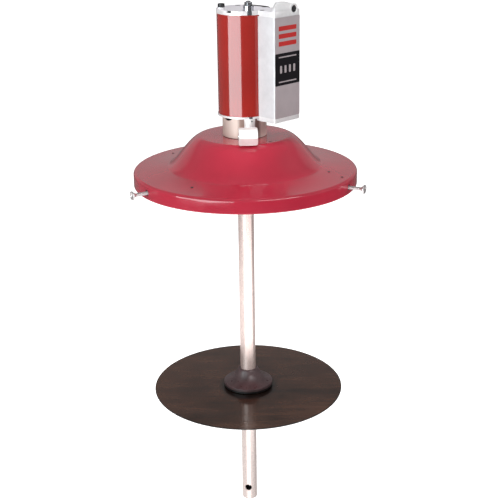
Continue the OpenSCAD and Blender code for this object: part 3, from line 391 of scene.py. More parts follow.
class Finish:
    """A material with a few short ways to add nodes to it."""

    def __init__(self, name, **sockets):
        self.material = bpy.data.materials.new(name)
        self.material.use_nodes = True
        self.tree = self.material.node_tree
        self.shader = self.tree.nodes["Principled BSDF"]
        fill(self.shader, **sockets)

    def add(self, kind, **settings):
        made = self.tree.nodes.new(kind)
        for key, value in settings.items():
            setattr(made, key, value)
        return made

    def link(self, start, end):
        self.tree.links.new(start, end)

    def place(self, stretch=(1, 1, 1), move=(0, 0, 0), turn=0.0):
        """Object coordinates, turned about Z, then stretched and moved."""
        spot = self.add("ShaderNodeTexCoord").outputs["Object"]
        if turn:
            turning = self.add("ShaderNodeMapping")
            fill(turning, Rotation=(0, 0, turn))
            self.link(spot, turning.inputs["Vector"])
            spot = turning.outputs["Vector"]
        mapping = self.add("ShaderNodeMapping")
        fill(mapping, Scale=stretch, Location=move)
        self.link(spot, mapping.inputs["Vector"])
        return mapping.outputs["Vector"]

    def noise(self, scale, detail=3.0, rough=0.5, stretch=(1, 1, 1), turn=0.0):
        """Fine noise on Object coordinates, stretched where the ways differ."""
        made = self.add("ShaderNodeTexNoise")
        fill(made, Scale=scale, Detail=detail, Roughness=rough)
        self.link(self.place(stretch, turn=turn), made.inputs["Vector"])
        return made.outputs["Fac"]

    def spread(self, value, low, high, to_low=0.0, to_high=1.0):
        """A value mapped from one range to another, clamped."""
        made = self.add("ShaderNodeMapRange")
        self.link(value, made.inputs["Value"])
        fill(made, From_Min=low, From_Max=high, To_Min=to_low, To_Max=to_high)
        return made.outputs["Result"]

    def times(self, first, second):
        """The product of a socket and a number or another socket."""
        made = self.add("ShaderNodeMath", operation="MULTIPLY")
        self.link(first, made.inputs[0])
        if isinstance(second, float):
            made.inputs[1].default_value = second
        else:
            self.link(second, made.inputs[1])
        return made.outputs[0]

    def mix(self, share, first, second):
        """A blend of two colours, each a tuple or a socket."""
        made = self.add("ShaderNodeMix", data_type="RGBA")
        self.link(share, made.inputs["Factor"])
        for socket, value in ((made.inputs[6], first), (made.inputs[7], second)):
            if isinstance(value, tuple):
                socket.default_value = (*value, 1.0)
            else:
                self.link(value, socket)
        return made.outputs[2]

    def bump(self, height, distance, strength):
        """Grain of a depth, laid on the surface's normal."""
        made = self.add("ShaderNodeBump")
        fill(made, Distance=distance, Strength=strength)
        self.link(height, made.inputs["Height"])
        self.set("Normal", made.outputs["Normal"])

    def set(self, socket, value):
        self.link(value, self.shader.inputs[socket])

    def near(self, spot, ways, radius, soft=0.2 * MM):
        """One within a radius of a spot, measured along the ways that count, and nought beyond."""
        span = self.add("ShaderNodeVectorMath", operation="LENGTH")
        self.link(self.place(ways, tuple(-part * way for part, way in zip(spot, ways))),
                  span.inputs[0])
        return self.spread(span.outputs["Value"], radius, radius + soft, 1.0, 0.0)

    def between(self, low, high, soft=0.1 * MM):
        """One between two heights, and nought above and below them."""
        parts = self.add("ShaderNodeSeparateXYZ")
        self.link(self.place(), parts.inputs["Vector"])
        rise = self.spread(parts.outputs["Z"], low - soft, low)
        return self.times(rise, self.spread(parts.outputs["Z"], high, high + soft, 1.0, 0.0))

    def patched(self, tone, patches):
        """A colour with other shades laid over it, each where its mask is one."""
        for mask, shade in patches(self) if patches else ():
            tone = self.mix(mask, tone, shade)
        return tone


def tinted(shade, factor):
    """A shade made darker or paler, within white."""
    return tuple(min(1.0, max(0.0, part * factor)) for part in shade)


def gloss_paint(name, shade, coat=1.0):
    """Sprayed gloss enamel with orange peel, faint dust and rubbed spots."""
    finish = Finish(name, Coat_Weight=coat, Coat_Roughness=0.02, Coat_IOR=1.6,
                    Specular_IOR_Level=0.35)
    cloud = finish.noise(9, 4, 0.6)
    base = finish.mix(finish.spread(cloud, 0.35, 0.65), tinted(shade, 0.92), tinted(shade, 1.06))
    specks = finish.spread(finish.noise(700, 2, 0.5), 0.68, 0.76)
    dust = finish.times(specks, 0.05)
    finish.set("Base Color", finish.mix(dust, base, (0.55, 0.5, 0.5)))
    smears = finish.spread(finish.noise(28, 5, 0.6, (1, 1, 0.4)), 0.35, 0.75, 0.10, 0.22)
    finish.set("Roughness", smears)
    finish.bump(finish.noise(420, 2, 0.5), 0.02 * MM, 0.35)
    return finish.material


def cast_metal(name, shade, rough=0.38, grain=1800, patches=None, polished=None):
    """Tumbled bright casting with a fine grain, and a polished part where one is given."""
    finish = Finish(name, Metallic=0.35)
    cloud = finish.spread(finish.noise(35, 5, 0.6), 0.3, 0.7)
    tone = finish.mix(cloud, tinted(shade, 0.88), tinted(shade, 1.05))
    finish.set("Base Color", finish.patched(tone, patches))
    dull = finish.spread(finish.noise(160, 4, 0.6), 0.3, 0.7, rough - 0.07, rough + 0.1)
    if polished:
        mask = polished(finish)
        finish.set("Metallic", finish.spread(mask, 0, 1, 0.35, 1.0))
        dull = finish.times(dull, finish.spread(mask, 0, 1, 1.0, 0.4))
    finish.set("Roughness", dull)
    finish.bump(finish.noise(grain, 3, 0.6), 0.03 * MM, 0.5)
    return finish.material


def turned_metal(name, shade, rough=0.25, lines=(1, 1, 45), metallic=1.0, depth=0.012,
                 patches=None):
    """Turned or drawn metal, its fine lines running along the axis that isn't stretched."""
    finish = Finish(name, Metallic=metallic)
    grooves = finish.noise(110, 5, 0.7, lines)
    cloud = finish.spread(finish.noise(22, 4, 0.6), 0.3, 0.7)
    tone = finish.mix(cloud, tinted(shade, 0.9), tinted(shade, 1.04))
    tone = finish.mix(finish.spread(grooves, 0.35, 0.75, 0, 0.35), tone, tinted(shade, 0.7))
    finish.set("Base Color", finish.patched(tone, patches))
    finish.set("Roughness", finish.spread(grooves, 0.3, 0.7, rough - 0.06, rough + 0.1))
    finish.bump(grooves, depth * MM, 0.5)
    return finish.material


def head_patches(finish):
    """The grey deck of the motor's head, painted shade in its air port, and its polished front lug's
    colour.
    """
    s = bpy.context.scene.pump_motor
    port = MOUNTS["air_inlet"]
    bore = port["dims"]["r_mm"] * MM
    deck = finish.between(s.deck_height - 0.05 * MM, s.deck_height + 0.2 * MM)
    return [(deck, (0.84, 0.81, 0.86)), (head_lug(finish), (0.50, 0.50, 0.54)),
            # The near-black disc in the air port is painted shade.
            (finish.near(port["pos_m"], (0, 1, 1), bore + 0.05 * MM), (0.03, 0.02, 0.02))]


def head_lug(finish):
    """The polished lug under the front tie screw."""
    return finish.near(FRONT_TIE, (1, 1, 0), bpy.context.scene.pump_motor.lug_radius + 0.1 * MM)


def neck_patches(finish):
    """The outlet body's painted light and shade: a painted lighter right side, painted shade on its
    rib's flanks and inside it, and a painted highlight on its rib.
    """
    s = bpy.context.scene.pump_motor
    right = polar(s.neck_radius, bpy.context.scene.pump_stage.camera_turn + math.radians(58))
    return [(finish.near(right, (1, 1, 0), 14 * MM, 10 * MM), (0.95, 0.80, 0.74)),
            (finish.near(FRONT_TIE, (1, 1, 0), s.lug_radius + 7 * MM, 6 * MM), (0.30, 0.20, 0.17)),
            (finish.near((0, 0, 0), (1, 1, 0), s.neck_radius - 0.9 * MM), (0.05, 0.03, 0.025)),
            (finish.near(FRONT_TIE, (1, 1, 0), s.lug_radius + 0.4 * MM), (0.97, 0.96, 0.95))]


def tube_patches(finish):
    """Painted shade on the tube below the follower, and in the bore behind the foot's hole."""
    s = bpy.context.scene.pump_tube
    return [(finish.between(FRAME_BOX[0][2], PLATE_LOW.z, 2 * MM), (0.68, 0.58, 0.55)),
            (finish.near((0, 0, 0), (1, 1, 0), s.radius - s.wall), (0.06, 0.045, 0.04))]


def bell_patches(finish):
    """Painted shade: the grommet's foot under its bell, made near black."""
    drop = bpy.context.scene.pump_follower.bell_drop
    return [(finish.between(GROMMET_LOW.z - 1 * MM, GROMMET_HIGH.z - drop, 0.3 * MM),
             (0.004, 0.003, 0.003))]


def rubber(name, shade, rough=0.45, patches=None):
    """Moulded rubber with a faint bloom."""
    finish = Finish(name, Specular_IOR_Level=0.5)
    bloom = finish.spread(finish.noise(60, 5, 0.65), 0.4, 0.8)
    finish.set("Base Color", finish.patched(finish.mix(bloom, shade, tinted(shade, 1.9)), patches))
    finish.set("Roughness", finish.spread(finish.noise(140, 4, 0.6), 0.3, 0.7, rough - 0.1,
                                          rough + 0.12))
    finish.bump(finish.noise(900, 3, 0.6), 0.03 * MM, 0.4)
    return finish.material


def oiled_plate(name, shade):
    """Dark plate with brown clouds, a film of oil, a black rim, and a painted shadow and reflection
    of the grommet.
    """
    finish = Finish(name, Coat_Weight=0.3, Coat_Roughness=0.03, Specular_IOR_Level=0.3)
    grain = math.radians(-45)
    cloud = finish.spread(finish.noise(9, 6, 0.62, (0.7, 1.2, 1), grain), 0.36, 0.68)
    streaks = finish.spread(finish.noise(22, 7, 0.7, (0.25, 3, 1), grain), 0.45, 0.72)
    deep = finish.mix(cloud, tinted(shade, 0.45), tinted(shade, 1.7))
    deep = finish.mix(finish.times(streaks, 0.4), deep, tinted(shade, 2.6))
    rim = bpy.context.scene.pump_follower.radius - 1.2 * MM
    inner = finish.near((0, 0, 0), (1, 1, 0), rim)
    # A painted shadow and reflection of the grommet on the plate, set toward the camera.
    shade_centre = polar(13 * MM, bpy.context.scene.pump_stage.camera_turn)
    grommet_shadow = finish.near(shade_centre, (1, 1, 0), GROMMET_HIGH.x - 1 * MM, 12 * MM)
    deep = finish.mix(finish.times(grommet_shadow, 0.9), deep, tinted(shade, 0.06))
    finish.set("Base Color", finish.mix(inner, tinted(shade, 0.1), deep))
    finish.set("Roughness", finish.spread(finish.noise(16, 6, 0.65), 0.3, 0.7, 0.10, 0.28))
    finish.bump(finish.noise(240, 4, 0.6), 0.02 * MM, 0.3)
    return finish.material


def printed_film(name, shade, shine=0.5):
    """Printed label film with a satin surface."""
    finish = Finish(name, Specular_IOR_Level=shine)
    cloud = finish.spread(finish.noise(40, 4, 0.6), 0.3, 0.7)
    finish.set("Base Color", finish.mix(cloud, tinted(shade, 0.95), tinted(shade, 1.05)))
    finish.set("Roughness", finish.spread(finish.noise(300, 3, 0.6), 0.3, 0.7, 0.28, 0.4))
    finish.bump(finish.noise(1500, 2, 0.5), 0.01 * MM, 0.3)
    return finish.material


MATERIALS = {}


def material_of(slot):
    """The material of a slot, made when it is first asked for."""
    scene = bpy.context.scene
    motor = scene.pump_motor
    # Each slot's maker, its colour, and the settings that differ from the usual ones
    recipes = {
        "cover_paint": (gloss_paint, scene.pump_cover.paint, dict(coat=0.75)),
        "shroud_paint": (gloss_paint, motor.paint, {}),
        "bright_casting": (cast_metal, (0.86, 0.85, 0.86),
                           dict(patches=head_patches, polished=head_lug)),
        "machined_body": (turned_metal, (0.70, 0.57, 0.51),
                          dict(rough=0.56, lines=(40, 40, 1), metallic=0.6, depth=0.03,
                               patches=neck_patches)),
        "chest_metal": (cast_metal, (0.71, 0.70, 0.72), dict(rough=0.42)),
        "tube_steel": (turned_metal, (0.86, 0.70, 0.655),
                       dict(rough=0.27, lines=(22, 22, 0.4), metallic=0.62, depth=0.006,
                            patches=tube_patches)),
        "screw_steel": (turned_metal, (0.76, 0.70, 0.70),
                        dict(rough=0.3, lines=(1, 1, 20), metallic=0.85)),
        "zinc": (turned_metal, (0.95, 0.94, 0.93),
                 dict(rough=0.32, lines=(1, 1, 20), metallic=0.25)),
        "chrome": (turned_metal, (0.66, 0.66, 0.70), dict(rough=0.14, lines=(1, 1, 30))),
        "sintered_bronze": (cast_metal, (0.50, 0.32, 0.15), dict(rough=0.5, grain=2600)),
        "inner_steel": (turned_metal, (0.62, 0.62, 0.63), dict(rough=0.22)),
        "inner_aluminium": (turned_metal, (0.75, 0.75, 0.77), dict(rough=0.3)),
        "black_steel": (turned_metal, (0.045, 0.043, 0.045),
                        dict(rough=0.38, lines=(1, 1, 12), metallic=0.7)),
        "brass": (turned_metal, (0.72, 0.50, 0.22), dict(rough=0.24)),
        "seal_rubber": (rubber, (0.02, 0.02, 0.022), {}),
        "packing": (rubber, (0.62, 0.58, 0.50), dict(rough=0.6)),
        "plate_dark": (oiled_plate, scene.pump_follower.plate_colour, {}),
        "grommet_rubber": (rubber, (0.066, 0.040, 0.042), dict(rough=0.34, patches=bell_patches)),
        "label_ground": (printed_film, motor.label_ground, {}),
        "label_red": (printed_film, motor.label_red, {}),
        "label_black": (printed_film, motor.label_black, dict(shine=0.06)),
    }
    if slot not in MATERIALS:
        maker, shade, settings = recipes[slot]
        MATERIALS[slot] = maker(slot, tuple(shade), **settings)
    return MATERIALS[slot]


# One operator for each piece or group of like pieces

def screw_turns(s):
    """Directions of the three thumb screws, the right one first."""
    return [s.screw_turn + i * FULL_TURN / 3 for i in range(3)]


class PUMP_OT_drum_cover(bpy.types.Operator):
    """Press the dished cover from one sheet, with its screw holes and the plugs in its small holes"""
    bl_idname = "pump.drum_cover"
    bl_label = "Drum Cover"

    def execute(self, context):
        s = context.scene.pump_cover
        # Small holes: share of the cover's radius, and direction in degrees
        holes = [(0.821, 190), (0.813, -78.5), (0.778, 24.5), (0.915, 20.5), (0.363, -8)]
        flange = s.sheet + s.flange_rise
        width = s.dome_foot - s.dome_top
        flank = [(s.dome_foot, flange),
                 (s.dome_foot - 0.226 * width, flange + 0.018 * s.dome_height),
                 (s.dome_top + 0.355 * width, s.dome_height), (s.dome_top, s.dome_height)]
        bend_x = s.radius - s.rim_radius
        bend_z = s.sheet - s.rim_radius
        # The flange lies level from here out to the bend
        seat = bend_x - 8 * MM
        foot = -s.skirt_height
        outside = [(s.radius - EDGE / 2, foot), (s.radius, foot + EDGE),
                   (s.radius, foot + 3 * EDGE)]
        outside += arc(bend_x, bend_z, s.rim_radius, 0, 90, 12)
        outside += [(seat, s.sheet)] + bezier(flank, 40) + [(0.5 * s.dome_top, s.dome_height)]
        outside += [(s.centre_hole, s.dome_height)]
        inside = [(s.radius - s.sheet + EDGE / 2, foot), (s.radius - s.sheet, foot + EDGE)]
        inside += arc(bend_x, bend_z, s.rim_radius - s.sheet, 0, 90, 12)
        inside += [(seat, 0)] + bezier_sides(flank, 40, s.sheet)
        inside += [(s.centre_hole, s.dome_height - s.sheet)]
        bm = spun(outside + inside[::-1], 288)
        cutter = bmesh.new()
        for turn in screw_turns(s):
            add_cylinder(cutter, s.screw_hole / 2, polar(bend_x, turn, -s.screw_drop),
                         polar(s.radius + s.rim_radius, turn, -s.screw_drop), 48)
        new_piece("cover_sheet", bm, "pump", material_of("cover_paint"),
                  ["drum_cover"], degrees=40, cutter=cutter)
        # The weld nuts are black steel so that they show as painted shade in the skirt's screw holes.
        dressed("weld_nuts", material_of("black_steel"))
        # Dark rubber plugs fill the small holes, their black standing for the shade inside the holes.
        for i, (share, degrees) in enumerate(holes):
            reach = share * s.radius
            top = s.dome_height
            if reach > s.dome_top:
                top = s.sheet + s.flange_rise * (seat - reach) / (seat - s.dome_foot)
            stem = s.pin_hole / 2
            plug = [(0, top + 0.7 * MM), (1.3 * stem, top + 0.6 * MM),
                    (1.95 * stem, top + 0.2 * MM), (2 * stem, top), (stem, top),
                    (stem, top - 1.4 * s.sheet), (0, top - 1.4 * s.sheet)]
            bm = spun(plug, 24, closed=False)
            bmesh.ops.translate(bm, vec=polar(reach, math.radians(degrees)), verts=bm.verts)
            new_piece(f"sheet_plug_{i}", bm, "pump",
                      material_of("seal_rubber"))
        return {"FINISHED"}


class PUMP_OT_thumb_screws(bpy.types.Operator):
    """Turn the three thumb screws, with their threads and flared heads"""
    bl_idname = "pump.thumb_screws"
    bl_label = "Thumb Screws"

    def execute(self, context):
        s = context.scene.pump_cover
        crest = s.screw_thread / 2
        root = crest - 0.45 * s.screw_pitch
        head = s.screw_head / 2
        lip = 0.8 * MM
        for side, turn in zip(("right", "rear", "left"), screw_turns(s)):
            node = "thumb_screw_" + side
            way = polar(1.0, turn)
            reach = [vert.co.dot(way) for vert in NODES[node].data.vertices]
            tip = min(reach)
            end = max(reach) - tip
            neck = end - s.screw_head_length
            flare = [(root, neck), (1.3 * crest, neck + 0.5 * s.screw_head_length),
                     (0.7 * head, neck + 0.6 * s.screw_head_length),
                     (head, neck + 0.8 * s.screw_head_length)]
            outline = [(0, 0), (0.8 * root, 0), (root, 0.3 * crest)] + bezier(flare, 24)
            outline += arc(head - lip, end - lip, lip, 0, 90, 6)
            outline += bezier([(0.66 * head, end), (0.5 * head, end - 0.02 * head),
                               (0.4 * head, end - 0.2 * head), (0, end - 0.22 * head)], 12)
            bm = spun(outline, 72, closed=False)
            wind_thread(bm, root - 0.05 * MM, crest, s.screw_pitch, s.screw_pitch,
                        neck - 0.5 * s.screw_pitch)
            laid(bm, way * tip + Vector((0, 0, -s.screw_drop)), way)
            new_piece("screw_" + side, bm, BODY_OF[node], material_of("screw_steel"),
                      [node])
        return {"FINISHED"}


class PUMP_OT_outlet(bpy.types.Operator):
    """Finish the machined outlet body, its elbow and the nut under the cover"""
    bl_idname = "pump.outlet"
    bl_label = "Outlet Body"

    def execute(self, context):
        dressed("outlet_body", material_of("machined_body"))
        dressed("outlet_elbow", material_of("zinc"))
        dressed("mounting_nut", material_of("zinc"))
        thread_lining("outlet_thread", MOUNTS["grease_outlet"], material_of("inner_steel"))
        return {"FINISHED"}


class PUMP_OT_shroud(bpy.types.Operator):
    """Roll the motor's shroud"""
    bl_idname = "pump.shroud"
    bl_label = "Motor Shroud"

    def execute(self, context):
        wall = context.scene.pump_motor.shroud_wall
        outer = SHROUD_HIGH.x
        low, high = SHROUD_LOW.z, SHROUD_HIGH.z
        edge = 0.3 * MM
        outline = [(outer - wall, low), (outer - edge, low), (outer, low + edge),
                   (outer, high - edge), (outer - edge, high), (outer - wall, high)]
        new_piece("shroud_sheet", spun(outline, 288), "pump",
                  material_of("shroud_paint"), ["cylinder_shroud"])
        return {"FINISHED"}


class PUMP_OT_castings(bpy.types.Operator):
    """Finish the motor's two caps and the valve chest"""
    bl_idname = "pump.castings"
    bl_label = "Motor Castings"

    def execute(self, context):
        for node in ("lower_cap", "upper_cap"):
            dressed(node, material_of("bright_casting"), 0.5 * MM)
        dressed("valve_chest", material_of("chest_metal"), 0.5 * MM)
        thread_lining("inlet_thread", MOUNTS["air_inlet"], material_of("black_steel"),
                      1.0 * MM)
        return {"FINISHED"}


class PUMP_OT_screws(bpy.types.Operator):
    """Finish the screws that hold the motor together, and the exhaust muffler"""
    bl_idname = "pump.screws"
    bl_label = "Motor Screws"

    def execute(self, context):
        s = context.scene.pump_motor
        dressed("front_tie_screw", material_of("chrome"))
        for node in ("tie_screws", "chest_screws", "neck_screws", "gallery_plug"):
            dressed(node, material_of("black_steel"), 0.3 * MM)
        dressed("exhaust_muffler", material_of("sintered_bronze"), 0.3 * MM)
        dark = material_of("black_steel")
        # A dark plug in the rim's recess; its black stands for the recess's shade.
        button("rim_plug", 3.6 * MM, s.deck_height - 3.5 * MM, s.deck_height - 0.3 * MM,
               polar(SHROUD_HIGH.x - 3.4 * MM, s.notch_turn), dark)
        button("lug_plug", 1.6 * MM, s.lug_height - 0.5 * MM, s.lug_height + 2.4 * MM,
               FRONT_TIE + Vector((7.3 * MM, 0, 0)), dark)
        return {"FINISHED"}


def film_box(name, low, high, material, proud):
    """A thin film with rounded corners on the chest's label face, from (y, z) to (y, z)."""
    bm = bmesh.new()
    x = CHEST_HIGH.x
    corners = [(low[0], low[1]), (high[0], low[1]), (high[0], high[1]), (low[0], high[1])]
    face = bm.faces.new([bm.verts.new((x, y, z)) for y, z in corners])
    bmesh.ops.bevel(bm, geom=list(bm.verts), offset=min(1.2 * MM, (high[1] - low[1]) / 4),
                    segments=4, profile=0.5, affect="VERTICES", material=-1)
    moved = bmesh.ops.extrude_face_region(bm, geom=list(bm.faces))
    front = [part for part in moved["geom"] if isinstance(part, bmesh.types.BMVert)]
    bmesh.ops.translate(bm, vec=(proud, 0, 0), verts=front)
    bmesh.ops.recalc_face_normals(bm, faces=bm.faces)
    return new_piece(name, bm, "pump", material)


class PUMP_OT_label(bpy.types.Operator):
    """Lay the plain label on the chest: a ground, three bars, and a dark band with pale marks"""
    bl_idname = "pump.label"
    bl_label = "Chest Label"

    def execute(self, context):
        s = context.scene.pump_motor
        near = CHEST_LOW.y + 1.0 * MM
        far = CHEST_HIGH.y - 1.0 * MM
        width = far - near
        rise = s.label_top - s.label_bottom
        left, right = near + 0.14 * width, far - 0.14 * width
        pale = material_of("label_ground")
        band_film, mark_film = 1.3 * s.label_film, 1.5 * s.label_film
        film_box("label_ground", (near, s.label_bottom), (far, s.label_top), pale, s.label_film)
        low, high = s.label_bottom + 0.33 * rise, s.label_bottom + 0.65 * rise
        film_box("label_band", (near, low), (far, high), material_of("label_black"), band_film)
        for i in range(3):
            foot = s.label_bottom + (0.72 + 0.075 * i) * rise
            film_box(f"label_bar_{i}", (left, foot), (right, foot + 0.045 * rise),
                     material_of("label_red"), band_film)
        for i, share in enumerate((0.09, 0.86)):
            foot = low + share * (high - low)
            film_box(f"label_line_{i}", (left, foot), (right, foot + 0.012 * rise), pale, mark_film)
        foot = low + 0.38 * (high - low)
        for i in range(4):
            side = near + (0.19 + 0.18 * i) * width
            film_box(f"label_mark_{i}", (side, foot), (side + 0.08 * width, foot + 0.075 * rise),
                     pale, mark_film)
        return {"FINISHED"}


class PUMP_OT_tubes(bpy.types.Operator):
    """Draw the pump tube and its foot, with the hole across it"""
    bl_idname = "pump.tubes"
    bl_label = "Pump Tube"

    def execute(self, context):
        s = context.scene.pump_tube
        edge = 0.3 * MM
        outline = [(s.radius - s.wall, TUBE_LOW.z), (s.radius - edge, TUBE_LOW.z),
                   (s.radius, TUBE_LOW.z + edge), (s.radius, TUBE_HIGH.z),
                   (s.radius - s.wall, TUBE_HIGH.z)]
        new_piece("tube_sleeve", spun(outline, 128), "pump",
                  material_of("tube_steel"), ["pump_tube"])
        dressed("foot_tube", material_of("tube_steel"), 0.3 * MM)
        return {"FINISHED"}


class PUMP_OT_follower(bpy.types.Operator):
    """Make the follower plate and the rubber grommet that wipes the tube"""
    bl_idname = "pump.follower"
    bl_label = "Follower"

    def execute(self, context):
        s = context.scene.pump_follower
        edge = 0.5 * MM
        low, high = PLATE_LOW.z, PLATE_HIGH.z
        outline = [(s.waist, low), (s.radius - edge, low), (s.radius, low + edge),
                   (s.radius, high - edge), (s.radius - edge, high), (s.waist, high)]
        new_piece("follower_disc", spun(outline, 256), "follower",
                  material_of("plate_dark"), ["follower_plate"])
        dressed("follower_grommet", material_of("grommet_rubber"), 0.6 * MM)
        return {"FINISHED"}


class PUMP_OT_inner_parts(bpy.types.Operator):
    """Give each piece inside the pump its finish"""
    bl_idname = "pump.inner_parts"
    bl_label = "Inner Parts"

    def execute(self, context):
        for node, thing in NODES.items():
            if node in STANDING_FOR:
                continue
            thing.data.materials.clear()
            thing.data.materials.append(material_of(SLOT_OF[node]))
        return {"FINISHED"}


def softbox(name, turn, reach, low, high, width, glow, mirrored=True, lit=True, tint=(1, 1, 1)):
    """An upright area lamp that faces the pump's axis, its glow counted in white papers."""
    lamp = bpy.data.lights.new(name, "AREA")
    lamp.shape = "RECTANGLE"
    lamp.size = width
    lamp.size_y = high - low
    lamp.energy = glow * LAMP_WATTS * width * (high - low)
    lamp.color = tint
    thing = bpy.data.objects.new(name, lamp)
    bpy.context.collection.objects.link(thing)
    thing.location = polar(reach, turn, (low + high) / 2)
    thing.rotation_euler = (math.pi / 2, 0, turn + math.pi / 2)
    thing.visible_camera = False
    thing.visible_glossy = mirrored
    thing.visible_diffuse = lit


def studio_room(scene, leftward):
    """A dim room, pale far below, dark under the horizon, and brighter on the camera's left."""
    world = bpy.data.worlds.new("studio_room")
    world.use_nodes = True
    nodes, links = world.node_tree.nodes, world.node_tree.links
    way = nodes.new("ShaderNodeTexCoord").outputs["Generated"]
    parts = nodes.new("ShaderNodeSeparateXYZ")
    links.new(way, parts.inputs["Vector"])
    height = nodes.new("ShaderNodeMapRange")
    fill(height, From_Min=-1.0)
    links.new(parts.outputs["Z"], height.inputs["Value"])
    tones = nodes.new("ShaderNodeValToRGB")
    links.new(height.outputs["Result"], tones.inputs["Fac"])
    # From straight down at 0 to straight up at 1: the height, and the room's grey there
    stops = [(0.0, 0.85), (0.325, 0.85), (0.34, 0.16), (0.48, 0.16), (0.56, 0.38), (0.69, 0.38),
             (0.735, 0.22), (0.775, 0.30), (1.0, 0.30)]
    ramp = tones.color_ramp.elements
    for spot, _ in stops[1:-1]:
        ramp.new(spot)
    for stop, (spot, tone) in zip(ramp, stops):
        stop.position = spot
        stop.color = (tone, tone, tone, 1)
    across = nodes.new("ShaderNodeVectorMath")
    across.operation = "DOT_PRODUCT"
    across.inputs[1].default_value = polar(1.0, leftward)
    links.new(way, across.inputs[0])
    lean = nodes.new("ShaderNodeMapRange")
    links.new(parts.outputs["Z"], lean.inputs["Value"])
    fill(lean, From_Min=-0.3, From_Max=-0.1, To_Min=0.5, To_Max=0.12)
    glow = nodes.new("ShaderNodeMath")
    glow.operation = "MULTIPLY_ADD"
    links.new(across.outputs["Value"], glow.inputs[0])
    links.new(lean.outputs["Result"], glow.inputs[1])
    glow.inputs[2].default_value = 1.0
    ground = nodes["Background"]
    links.new(tones.outputs["Color"], ground.inputs["Color"])
    links.new(glow.outputs["Value"], ground.inputs["Strength"])
    scene.world = world


def spot_lamp(name, start, target, cone, watts):
    """A narrow soft lamp that no surface mirrors."""
    lamp = bpy.data.lights.new(name, "SPOT")
    lamp.energy = watts
    lamp.spot_size = cone
    lamp.spot_blend = 1.0
    lamp.shadow_soft_size = 0.05
    thing = bpy.data.objects.new(name, lamp)
    bpy.context.collection.objects.link(thing)
    thing.location = start
    thing.rotation_euler = (target - start).to_track_quat("-Z", "Y").to_euler()
    thing.visible_glossy = False


# Each lamp's name, its degrees from the camera, its reach, the heights of its foot and head, its
# width, its glow, and what it leaves out or tints. The top one is laid flat afterwards.
SOFTBOXES = [
    ("band_softbox", -39.5, 1.2, -0.26, 0.30, 1.30, 3.9, {"lit": False, "tint": (0.86, 1.0, 1.03)}),
    ("left_fill", -45, 1.3, 0.0, 1.2, 1.2, 2.0, {"mirrored": False}),
    ("low_card_left", -9.5, 1.0, -1.4, -0.38, 1.2, 1.6, {}),
    ("low_card_right", 52, 1.0, -1.08, -0.38, 1.2, 1.6, {}),
    ("right_fill", 90, 1.5, 0.3, 1.6, 1.4, 1.9, {"mirrored": False}),
    ("rim_softbox", 35, 1.4, 0.7, 1.2, 1.2, 5.0, {"lit": False}),
    ("top_softbox", -30, 0.3, 1.5, 2.5, 1.4, 2.6, {"mirrored": False}),
]


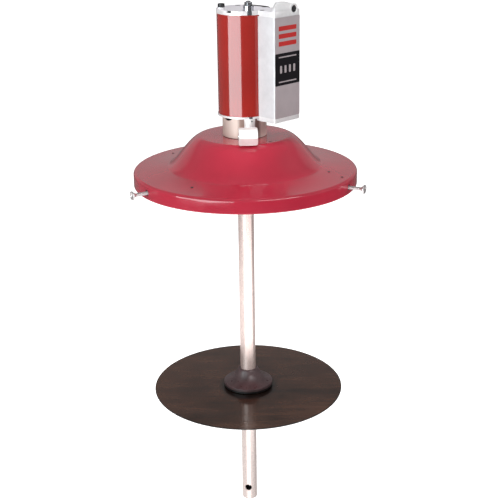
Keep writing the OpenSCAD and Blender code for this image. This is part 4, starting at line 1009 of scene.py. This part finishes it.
class PUMP_OT_stage(bpy.types.Operator):
    """Set the pale floor, the soft lamps and the camera"""
    bl_idname = "pump.stage"
    bl_label = "Stage"

    def execute(self, context):
        s = context.scene.pump_stage
        bm = bmesh.new()
        bmesh.ops.create_grid(bm, x_segments=1, y_segments=1, size=s.floor / 2,
                              matrix=Matrix.Translation((0, 0, FRAME_BOX[0][2] - 0.2 * MM)))
        mesh = bpy.data.meshes.new("floor")
        bm.to_mesh(mesh)
        bm.free()
        floor = bpy.data.objects.new("floor", mesh)
        bpy.context.collection.objects.link(floor)
        pale = Finish("floor_paper", Base_Color=(0.9, 0.9, 0.9, 1), Roughness=0.9,
                      Specular_IOR_Level=0.1, Emission_Color=(1, 1, 1, 1), Emission_Strength=1.0)
        mesh.materials.append(pale.material)
        floor.visible_glossy = False
        floor.visible_diffuse = False
        floor.visible_shadow = False
        facing = s.camera_turn
        studio_room(context.scene, facing - math.pi / 2)
        for name, degrees, reach, low, high, width, glow, kind in SOFTBOXES:
            softbox(name, facing + math.radians(degrees), reach, low, high, width, glow, **kind)
        bpy.data.objects["top_softbox"].rotation_euler = (0, 0, facing)
        outlet = Vector(MOUNTS["grease_outlet"]["pos_m"])
        spot_lamp("outlet_lamp", polar(1.1, facing - math.radians(10), 0.02), outlet,
                  math.radians(5), 46.0)
        spot_lamp("head_lamp", Vector((0.06, 0.02, 1.7)), Vector((0.05, 0.02, 0.28)),
                  math.radians(8), 34.0)
        spot_lamp("tube_lamp", polar(1.2, facing - math.radians(20), -0.30), Vector((0, 0, -0.26)),
                  math.radians(12), 38.0)
        camera = bpy.data.cameras.new("camera")
        camera.lens = s.lens
        camera.sensor_width = SENSOR_WIDTH
        camera.shift_x = s.shift
        camera.clip_end = CAMERA_FAR_END
        thing = bpy.data.objects.new("camera", camera)
        context.collection.objects.link(thing)
        place = Matrix.Translation(polar(s.camera_reach, s.camera_turn, s.camera_height))
        thing.matrix_world = (place @ Matrix.Rotation(s.camera_turn + math.pi / 2, 4, "Z")
                              @ Matrix.Rotation(math.pi / 2 - s.camera_tip, 4, "X")
                              @ Matrix.Rotation(s.camera_roll, 4, "Z"))
        context.scene.camera = thing
        context.scene.view_settings.view_transform = "Standard"
        return {"FINISHED"}


class PUMP_PT_panel(bpy.types.Panel):
    """Lists the pump's pieces"""
    bl_idname = "PUMP_PT_panel"
    bl_label = "Grease Pump"
    bl_space_type = "VIEW_3D"
    bl_region_type = "UI"
    bl_category = "Grease Pump"

    def draw(self, context):
        for operator in OPERATORS:
            self.layout.operator(operator.bl_idname)


GROUPS = {
    "pump_cover": PumpCoverSettings,
    "pump_motor": PumpMotorSettings,
    "pump_tube": PumpTubeSettings,
    "pump_follower": PumpFollowerSettings,
    "pump_stage": PumpStageSettings,
}
OPERATORS = [PUMP_OT_stage, PUMP_OT_drum_cover, PUMP_OT_thumb_screws, PUMP_OT_outlet,
             PUMP_OT_shroud, PUMP_OT_castings, PUMP_OT_screws, PUMP_OT_label, PUMP_OT_tubes,
             PUMP_OT_follower, PUMP_OT_inner_parts]


def register():
    for name, group in GROUPS.items():
        bpy.utils.register_class(group)
        setattr(bpy.types.Scene, name, bpy.props.PointerProperty(type=group))
    for operator in OPERATORS:
        bpy.utils.register_class(operator)
    bpy.utils.register_class(PUMP_PT_panel)


def unregister():
    bpy.utils.unregister_class(PUMP_PT_panel)
    for operator in reversed(OPERATORS):
        bpy.utils.unregister_class(operator)
    for name, group in GROUPS.items():
        delattr(bpy.types.Scene, name)
        bpy.utils.unregister_class(group)


def corners(box):
    """A box's two corners as plain numbers."""
    return [[round(float(part), 6) for part in corner] for corner in box]


def main():
    register()
    for operator in OPERATORS:
        family, name = operator.bl_idname.split(".")
        getattr(getattr(bpy.ops, family), name)()


if __name__ == "__main__":
    main()
